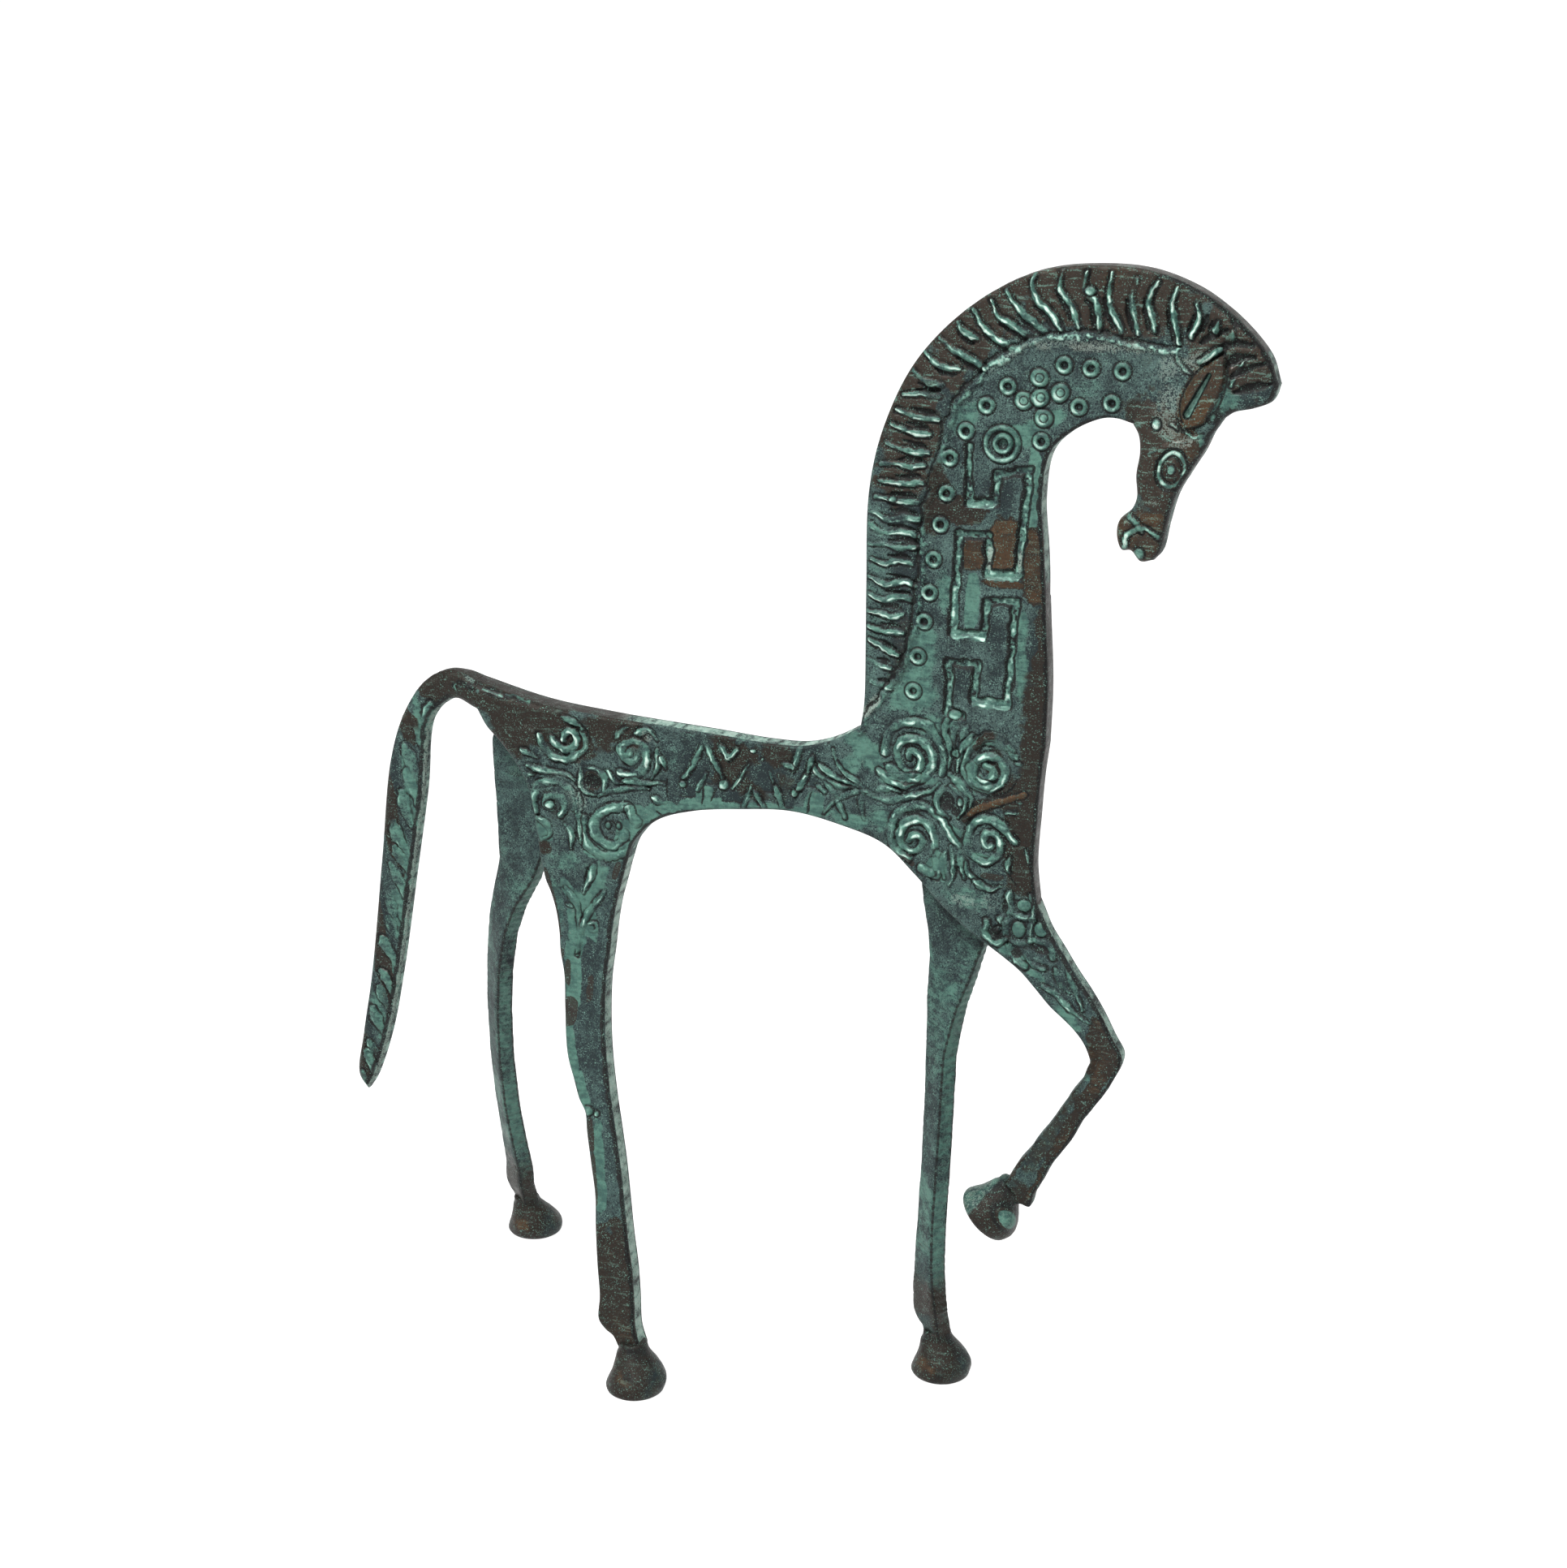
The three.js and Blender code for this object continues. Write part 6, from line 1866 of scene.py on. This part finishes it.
@dataclass
class LappedLeg:
    """A far leg: a twisted bar that starts as a leaf on the body's far face."""

    name: str
    node: str
    hip: float
    reach: float
    rows: tuple[tuple[float, float, float, float, float], ...]
    foot: tuple[tuple[float, float, float, float, float], ...]
    thickness: float = 5.0
    step: float = 0.42
    around: int = 56
    slot: str = "leg_patina"

    def build(self, finish: bpy.types.Material) -> bpy.types.Object:
        """Makes the leg's mesh and puts it in place.

        Args:
            finish: The material.

        Returns:
            The finished piece.
        """
        spread = self.reach - self.hip
        stations = [(x, self.hip + share * spread, z, width, yaw) for x, z, width, yaw, share in self.rows]
        spine, width, yaw, along = self._spine(np.array([*stations, *self.foot], float))
        way = np.gradient(spine, axis=0)
        way /= np.linalg.norm(way, axis=1, keepdims=True)
        turn = np.radians(yaw)
        face = np.stack([np.sin(turn), -np.cos(turn), np.zeros(len(turn))], axis=1)
        face -= way * (face * way).sum(1, keepdims=True)
        face /= np.linalg.norm(face, axis=1, keepdims=True)
        edge = np.cross(way, face)
        section, normals, on_edge = self._section(width)
        points = spine[:, None, :] + edge[:, None, :] * section[..., :1] + face[:, None, :] * section[..., 1:]
        outward = edge[:, None, :] * normals[..., :1] + face[:, None, :] * normals[..., 1:]
        flat = points.reshape(-1, 3)
        cast = 0.12 * rough(flat, 4.0, 3, 51) + 0.08 * rough(flat, 1.3, 2, 53)
        pits = 0.18 * smooth(rough(flat, 1.1, 2, 57), 0.3, 0.55)
        where = np.repeat(along, self.around)
        scallop = 0.22 * np.abs(np.sin(where * math.pi / 2.1 + 0.8 * rough(flat, 6.0, 2, 59)))
        front = on_edge.ravel()
        cast += (scallop - 0.12) * np.clip(front, 0.0, 1.0)
        ends = np.minimum(where, along[-1] - where)
        cast *= smooth(ends, 0.0, 1.0)
        flat = flat + outward.reshape(-1, 3) * (cast - pits)[:, None]
        points = np.vstack([flat, flat[:self.around].mean(0), flat[-self.around:].mean(0)])
        corners, sizes = tube_faces(len(spine), self.around, inward=True)
        tints = self._tints(points, pits, scallop, front)
        piece = mesh_object(self.name, points, corners, sizes, tints, finish)
        settle(piece, self.node, self.slot)
        return piece

    def _spine(self, stations: np.ndarray) -> tuple[np.ndarray, np.ndarray, np.ndarray, np.ndarray]:
        """Even points down the leg, with its width and yaw there.

        Args:
            stations: Rows of x, y, z, width and yaw.

        Returns:
            The spine's points, the widths, the yaws and the distances down it.
        """
        places = stations[:, :3]
        gaps = np.concatenate([[0.0], np.cumsum(np.linalg.norm(np.diff(places, axis=0), axis=1))])
        count = int(gaps[-1] / self.step)
        marks = np.linspace(0.0, gaps[-1], count)
        fine = np.linspace(0.0, gaps[-1], count * 3)
        columns = []
        for k in range(5):
            column = np.interp(fine, gaps, stations[:, k])
            for _ in range(3):
                padded = np.pad(column, 7, mode="reflect", reflect_type="odd")
                column = np.convolve(padded, np.ones(15) / 15, mode="valid")
            columns.append(np.interp(marks, fine, column))
        spine = np.stack(columns[:3], axis=1)
        width = columns[3]
        lead = np.clip(marks / 7.0, 0.0, 1.0)
        width = width * np.sqrt(1.0 - (1.0 - lead) ** 2 * 0.985)
        return spine, width, columns[4], marks

    def _section(self, width: np.ndarray) -> tuple[np.ndarray, np.ndarray, np.ndarray]:
        """The rounded rectangle of each section, with its outward ways.

        Args:
            width: The width of each section.

        Returns:
            The section's points, its outward ways, and how much each lies on the front edge.
        """
        angle = 2 * math.pi * (np.arange(self.around) + 0.5) / self.around
        power = 0.34
        unit = np.stack([
            np.sign(np.cos(angle)) * np.abs(np.cos(angle)) ** power,
            np.sign(np.sin(angle)) * np.abs(np.sin(angle)) ** power,
        ], axis=1)
        halves = np.stack([width / 2, np.full(len(width), self.thickness / 2)], axis=1)
        section = unit[None] * halves[:, None, :]
        normals = np.stack([np.cos(angle), np.sin(angle)], axis=1)
        normals = np.sign(normals) * np.abs(normals) ** 1.6
        normals /= np.linalg.norm(normals, axis=1, keepdims=True)
        normals = np.broadcast_to(normals[None], section.shape)
        front = smooth(-unit[:, 0], 0.8, 0.98) * (1.0 - 0.55 * smooth(np.abs(unit[:, 1]), 0.5, 0.8))
        on_edge = np.broadcast_to(front[None], section.shape[:2])
        return section, normals, on_edge

    @staticmethod
    def _tints(
        points: np.ndarray, pits: np.ndarray, scallop: np.ndarray, front: np.ndarray
    ) -> dict[str, np.ndarray]:
        """Lays the tints.

        Args:
            points: The points, ring by ring, then the middles of both ends.
            pits: The pits at each ring point.
            scallop: The scallops at each ring point.
            front: How much each ring point lies on the front edge.

        Returns:
            The tints by name.
        """
        rest = np.zeros(2)
        low = 1.0 - smooth(points[:, 2], 18.0, 46.0)
        high = smooth(points[:, 2], 118.0, 132.0)
        spread = rough(points, 7.0, 3, 61)
        seam = np.exp(-((front - 0.45) / 0.3) ** 2) * (0.55 + 0.45 * (1.0 - smooth(scallop, 0.02, 0.14)))
        return {
            "brown": np.clip(0.85 * low + 0.5 * spread + 0.25 * high - 0.15, 0.0, 1.0),
            "fresh": np.clip(0.45 + np.append(0.4 * front, rest) + 0.9 * spread - 0.3 * high, 0.0, 1.0),
            # A small painted highlight on the scallops of the front edge.
            "crest": np.append(np.clip(front * smooth(scallop, 0.1, 0.22), 0.0, 1.0) * 0.15, rest),
            "groove": np.append(np.clip(pits * 2.4 + seam, 0.0, 1.0), rest),
        }


@dataclass
class Hoof:
    """A bell-shaped hoof, flared behind and round in front."""

    name: str
    node: str
    sole: tuple[float, float, float]
    tilt: float = 0.0
    slope: float = 0.0
    height: float = 11.5
    lean: float = 1.5
    lump: bool = False
    around: int = 96
    rows: int = 54
    slot: str = "hoof_bronze"

    def build(self, finish: bpy.types.Material) -> bpy.types.Object:
        """Makes the hoof's mesh and puts it in place.

        Args:
            finish: The material.

        Returns:
            The finished piece.
        """
        profile = np.array([
            (0.0, 0.0), (5.5, 0.0), (6.9, 0.05), (7.35, 0.35), (7.6, 1.0), (7.6, 2.2), (7.35, 3.3),
            (6.7, 4.8), (5.75, 6.5), (4.75, 8.1), (3.95, 9.4), (3.6, 10.4), (3.55, 11.2), (3.2, 11.6),
            (0.0, 11.7),
        ])
        gaps = np.concatenate([[0.0], np.cumsum(np.linalg.norm(np.diff(profile, axis=0), axis=1))])
        marks = np.linspace(0.0, gaps[-1], self.rows)
        radius = np.interp(marks, gaps, profile[:, 0])[1:-1]
        level = np.interp(marks, gaps, profile[:, 1])[1:-1]
        angle = 2 * math.pi * np.arange(self.around) / self.around
        front = np.cos(angle)[None, :]
        share = (level / self.height)[:, None]
        waist = np.clip(1.0 - ((share - 0.42) / 0.34) ** 2, 0.0, 1.0)
        swell = 0.1 * waist * np.clip(front, 0.0, 1.0) - 0.16 * waist * np.clip(-front, 0.0, 1.0)
        spread = radius[:, None] * (1.0 + swell)
        local = np.stack([
            spread * np.cos(angle)[None, :] - self.lean * share,
            spread * np.sin(angle)[None, :] * np.ones_like(share) + self.slope * share,
            np.broadcast_to(level[:, None], spread.shape),
        ], axis=2).reshape(-1, 3)
        outward = np.stack([np.cos(angle), np.sin(angle), np.full(self.around, 0.25)], axis=1)
        outward = np.tile(outward, (len(level), 1))
        seed = 80 + int(abs(self.sole[0]))
        cast = 0.2 * rough(local, 4.2, 3, seed) + 0.09 * rough(local, 1.3, 2, seed + 1)
        side = smooth(local[:, 2], 0.2, 1.0)
        local = local + outward * (cast * side)[:, None]
        crown = np.zeros(len(local))
        if self.lump:
            gap = np.linalg.norm((local - (2.9, -4.0, 6.4)) / (1.4, 1.0, 0.8), axis=1)
            crown = np.exp(-(gap / 2.4) ** 2)
            local += outward * (1.5 * crown)[:, None]
        points = np.vstack([local, [(0.0, 0.0, 0.0), (-self.lean, self.slope, self.height + 0.2)]])
        turn = math.radians(self.tilt)
        turned = np.stack([
            points[:, 0] * math.cos(turn) + points[:, 2] * math.sin(turn),
            points[:, 1],
            -points[:, 0] * math.sin(turn) + points[:, 2] * math.cos(turn),
        ], axis=1) + self.sole
        corners, sizes = tube_faces(len(level), self.around)
        piece = mesh_object(self.name, turned, corners, sizes, self._tints(points, crown, seed), finish)
        settle(piece, self.node, self.slot)
        return piece

    def _tints(self, local: np.ndarray, crown: np.ndarray, seed: int) -> dict[str, np.ndarray]:
        """Lays the tints.

        Args:
            local: The points over the sole, ring by ring, then the middles of sole and top.
            crown: How much each ring point lies on the braze lump.
            seed: The number that picks the pattern.

        Returns:
            The tints by name.
        """
        spread = rough(local, 5.0, 3, seed + 5)
        neck = smooth(local[:, 2], 7.5, 10.5)
        green = 0.7 * smooth(local[:, 0] + 3.0 * spread, 0.6, 5.6)
        if self.lump:
            green = smooth(2.4 * spread - local[:, 0], 2.4, 4.8)
        wear_and_highlight = np.exp(-((local[:, 0] + 0.5) / 3.4) ** 2 - ((local[:, 2] - 4.4) / 2.4) ** 2)
        wear_and_highlight = wear_and_highlight * (local[:, 1] < 0) * (0.3 if self.lump else 1.0)
        blob = np.append(smooth(crown, 0.25, 0.5), [0.0, 0.0])
        ring = np.append(np.exp(-((crown - 0.16) / 0.09) ** 2) * self.lump, [0.0, 0.0])
        brown = np.clip(1.0 + 0.4 * spread - 0.3 * neck - 0.75 * green + 0.5 * wear_and_highlight, 0.0, 1.5)
        return {
            "brown": brown * (1.0 - blob),
            "fresh": np.clip(0.2 * neck + 0.6 * green + 0.5 * spread + blob, 0.0, 1.0),
            "pale": 0.2 * blob + 0.4 * green * self.lump,
            "shade": np.full(len(local), 0.6),
            # The braze lump gets a painted highlight.
            "crest": 0.3 * blob,
            "groove": np.clip(0.4 * neck + 0.5 * smooth(-spread, 0.1, 0.5) + ring, 0.0, 1.0) * (1.0 - blob),
        }


def far_legs() -> list[LappedLeg]:
    """The far hind leg, set back, and the far fore leg under the chest."""
    hind = LappedLeg(
        "far_hind_leg_cast", "far_hind_leg", 5.8, 33.5,
        (
            (-67.5, 161, 20, 0, 0), (-68, 150, 19, 0, 0), (-68.8, 139, 16.5, 0, 0), (-69.9, 129, 14, -2, 0),
            (-71.6, 121, 12.5, -16, 0.03), (-75.3, 113, 11, -32, 0.08), (-79, 103, 10, -40, 0.15),
            (-82.2, 90, 9.4, -45, 0.27), (-84.7, 76, 9, -46, 0.4), (-86.5, 60, 9, -47, 0.54),
            (-87.2, 44, 9, -46, 0.67), (-87.1, 30, 9.2, -43, 0.79), (-86.9, 22, 9.6, -40, 0.86),
        ),
        (
            (-87.1, 30.0, 16.1, 10, -38), (-86.0, 30.65, 13.1, 6.4, -38), (-85.7, 31.3, 10.2, 6.4, -38),
        ),
    )
    fore = LappedLeg(
        "far_fore_leg_cast", "far_fore_leg", 5.8, 0.3,
        (
            (46, 143, 17, 0, 0), (46, 136, 18.5, 0, 0), (46.3, 127, 17.5, 0, 0), (46.4, 118, 15, -6, 0),
            (45.5, 110, 12.5, -14, 0), (43.9, 101, 10.5, -26, 0.02), (42.8, 87, 8, -40, 0.1),
            (42.7, 72, 7.8, -43, 0.22), (42.4, 56, 7.8, -45, 0.36), (41.9, 41, 7.8, -45, 0.49),
            (41.7, 29, 8.6, -43, 0.6), (41.9, 22, 9.4, -39, 0.68),
        ),
        (
            (42.6, 1.28, 16.1, 10, -37), (44.2, 1.1, 13.1, 6.4, -37), (44.6, 0.92, 10.2, 6.4, -37),
        ),
    )
    return [hind, fore]


def hooves() -> list[Hoof]:
    """The four hooves."""
    return [
        Hoof("near_hind_hoof_cast", "near_hind_hoof", (-24.6, -33.5, 0.0), slope=2.5),
        Hoof("far_hind_hoof_cast", "far_hind_hoof", (-84.4, 33.5, 0.0), slope=-2.5),
        Hoof("far_fore_hoof_cast", "far_fore_hoof", (45.9, 0.3, 0.0), slope=0.7),
        Hoof("near_fore_hoof_cast", "near_fore_hoof", (59.0, -10.0, 51.8), tilt=43.0, lump=True),
    ]


@dataclass
class Studio:
    """A pale sweep, soft light and the photograph's viewpoint."""

    azimuth: float = 20.0
    elevation: float = 18.0
    distance: float = 0.5907
    target: tuple[float, float, float] = (0.0041, 0.0, 0.1534)
    lens: float = 55.9
    sensor: float = 36.0
    sweep_width: float = 6.0
    sweep_depth: float = 2.6
    sky: float = 0.18
    key_power: float = 42.0
    side_power: float = 5.0

    def build(self) -> None:
        """Sets the sweep, the lights and the camera."""
        self._sweep()
        self._sky()
        self._light("key_light", (-0.3, -0.8, 1.4), self.key_power, 0.55)
        self._light("side_light", (1.4, -0.25, 0.9), self.side_power, 0.8)
        self._camera()

    def _camera(self) -> None:
        """Places the camera on its sphere about the target."""
        around, up = math.radians(self.azimuth), math.radians(self.elevation)
        back = Vector((math.sin(around) * math.cos(up), -math.cos(around) * math.cos(up), math.sin(up)))
        data = bpy.data.cameras.new("camera")
        data.lens = self.lens
        data.sensor_width = self.sensor
        data.clip_start = 0.01
        camera = bpy.data.objects.new("camera", data)
        camera.location = Vector(self.target) + back * self.distance
        camera.rotation_euler = back.to_track_quat("Z", "Y").to_euler()
        bpy.context.scene.collection.objects.link(camera)
        bpy.context.scene.camera = camera

    def _light(self, name: str, place: tuple[float, float, float], power: float, size: float) -> None:
        """One square soft light that faces the figure."""
        data = bpy.data.lights.new(name, "AREA")
        data.energy = power
        data.size = size
        lamp = bpy.data.objects.new(name, data)
        lamp.location = place
        lamp.rotation_euler = (Vector(place) - Vector((0, 0, 0.14))).to_track_quat("Z", "Y").to_euler()
        bpy.context.scene.collection.objects.link(lamp)

    def _sky(self) -> None:
        """An even white surround."""
        world = bpy.data.worlds.new("surround")
        world.use_nodes = True
        world.node_tree.nodes["Background"].inputs["Color"].default_value = (1.0, 1.0, 1.0, 1.0)
        world.node_tree.nodes["Background"].inputs["Strength"].default_value = self.sky
        bpy.context.scene.world = world

    def _sweep(self) -> None:
        """A pale floor that curves up behind the figure."""
        radius = 0.8
        bend = [
            (self.sweep_depth + radius * math.sin(a), radius * (1 - math.cos(a)))
            for a in np.linspace(0.0, math.pi / 2, 24)
        ]
        line = [(-3.0, 0.0)] + bend + [(self.sweep_depth + radius, 4.0)]
        points = [(x, y, z) for y, z in line for x in (-self.sweep_width / 2, self.sweep_width / 2)]
        faces = [(2 * i, 2 * i + 1, 2 * i + 3, 2 * i + 2) for i in range(len(line) - 1)]
        mesh = bpy.data.meshes.new("studio_floor")
        mesh.from_pydata(points, [], faces)
        mesh.polygons.foreach_set("use_smooth", [True] * len(faces))
        paper = bpy.data.materials.new("white_paper")
        paper.use_nodes = True
        shader = paper.node_tree.nodes["Principled BSDF"]
        shader.inputs["Base Color"].default_value = (0.25, 0.25, 0.25, 1.0)
        shader.inputs["Roughness"].default_value = 0.9
        shader.inputs["Emission Color"].default_value = (1.0, 1.0, 1.0, 1.0)
        shader.inputs["Emission Strength"].default_value = 0.93
        mesh.materials.append(paper)
        floor = bpy.data.objects.new("studio_floor", mesh)
        bpy.context.scene.collection.objects.link(floor)


def finishes() -> dict[str, bpy.types.Material]:
    """The material of each slot of the record."""
    made = {
        "body_patina": Patina("body_patina"),
        "crest_patina": Patina("crest_patina", brown=(0.027, 0.0195, 0.0145), brown_bias=0.04, streak=0.38),
        "leg_patina": Patina(
            "leg_patina", verdigris=(0.041, 0.076, 0.071), fresh=(0.058, 0.138, 0.108), speckle=1.0
        ),
        "hoof_bronze": Patina("hoof_bronze", brown_bias=0.06, speckle=0.8),
    }
    return {slot: finish.material() for slot, finish in made.items()}


def main() -> None:
    """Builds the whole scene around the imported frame."""
    logging.basicConfig(level=logging.INFO, format="%(name)s: %(message)s")
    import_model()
    bpy.context.scene.view_settings.view_transform = "Standard"
    Studio().build()
    materials = finishes()
    FlatHorse().build(materials)
    for leg in far_legs():
        leg.build(materials[leg.slot])
    for hoof in hooves():
        hoof.build(materials[hoof.slot])
    log.info("all pieces are in place")


if __name__ == "__main__":
    main()
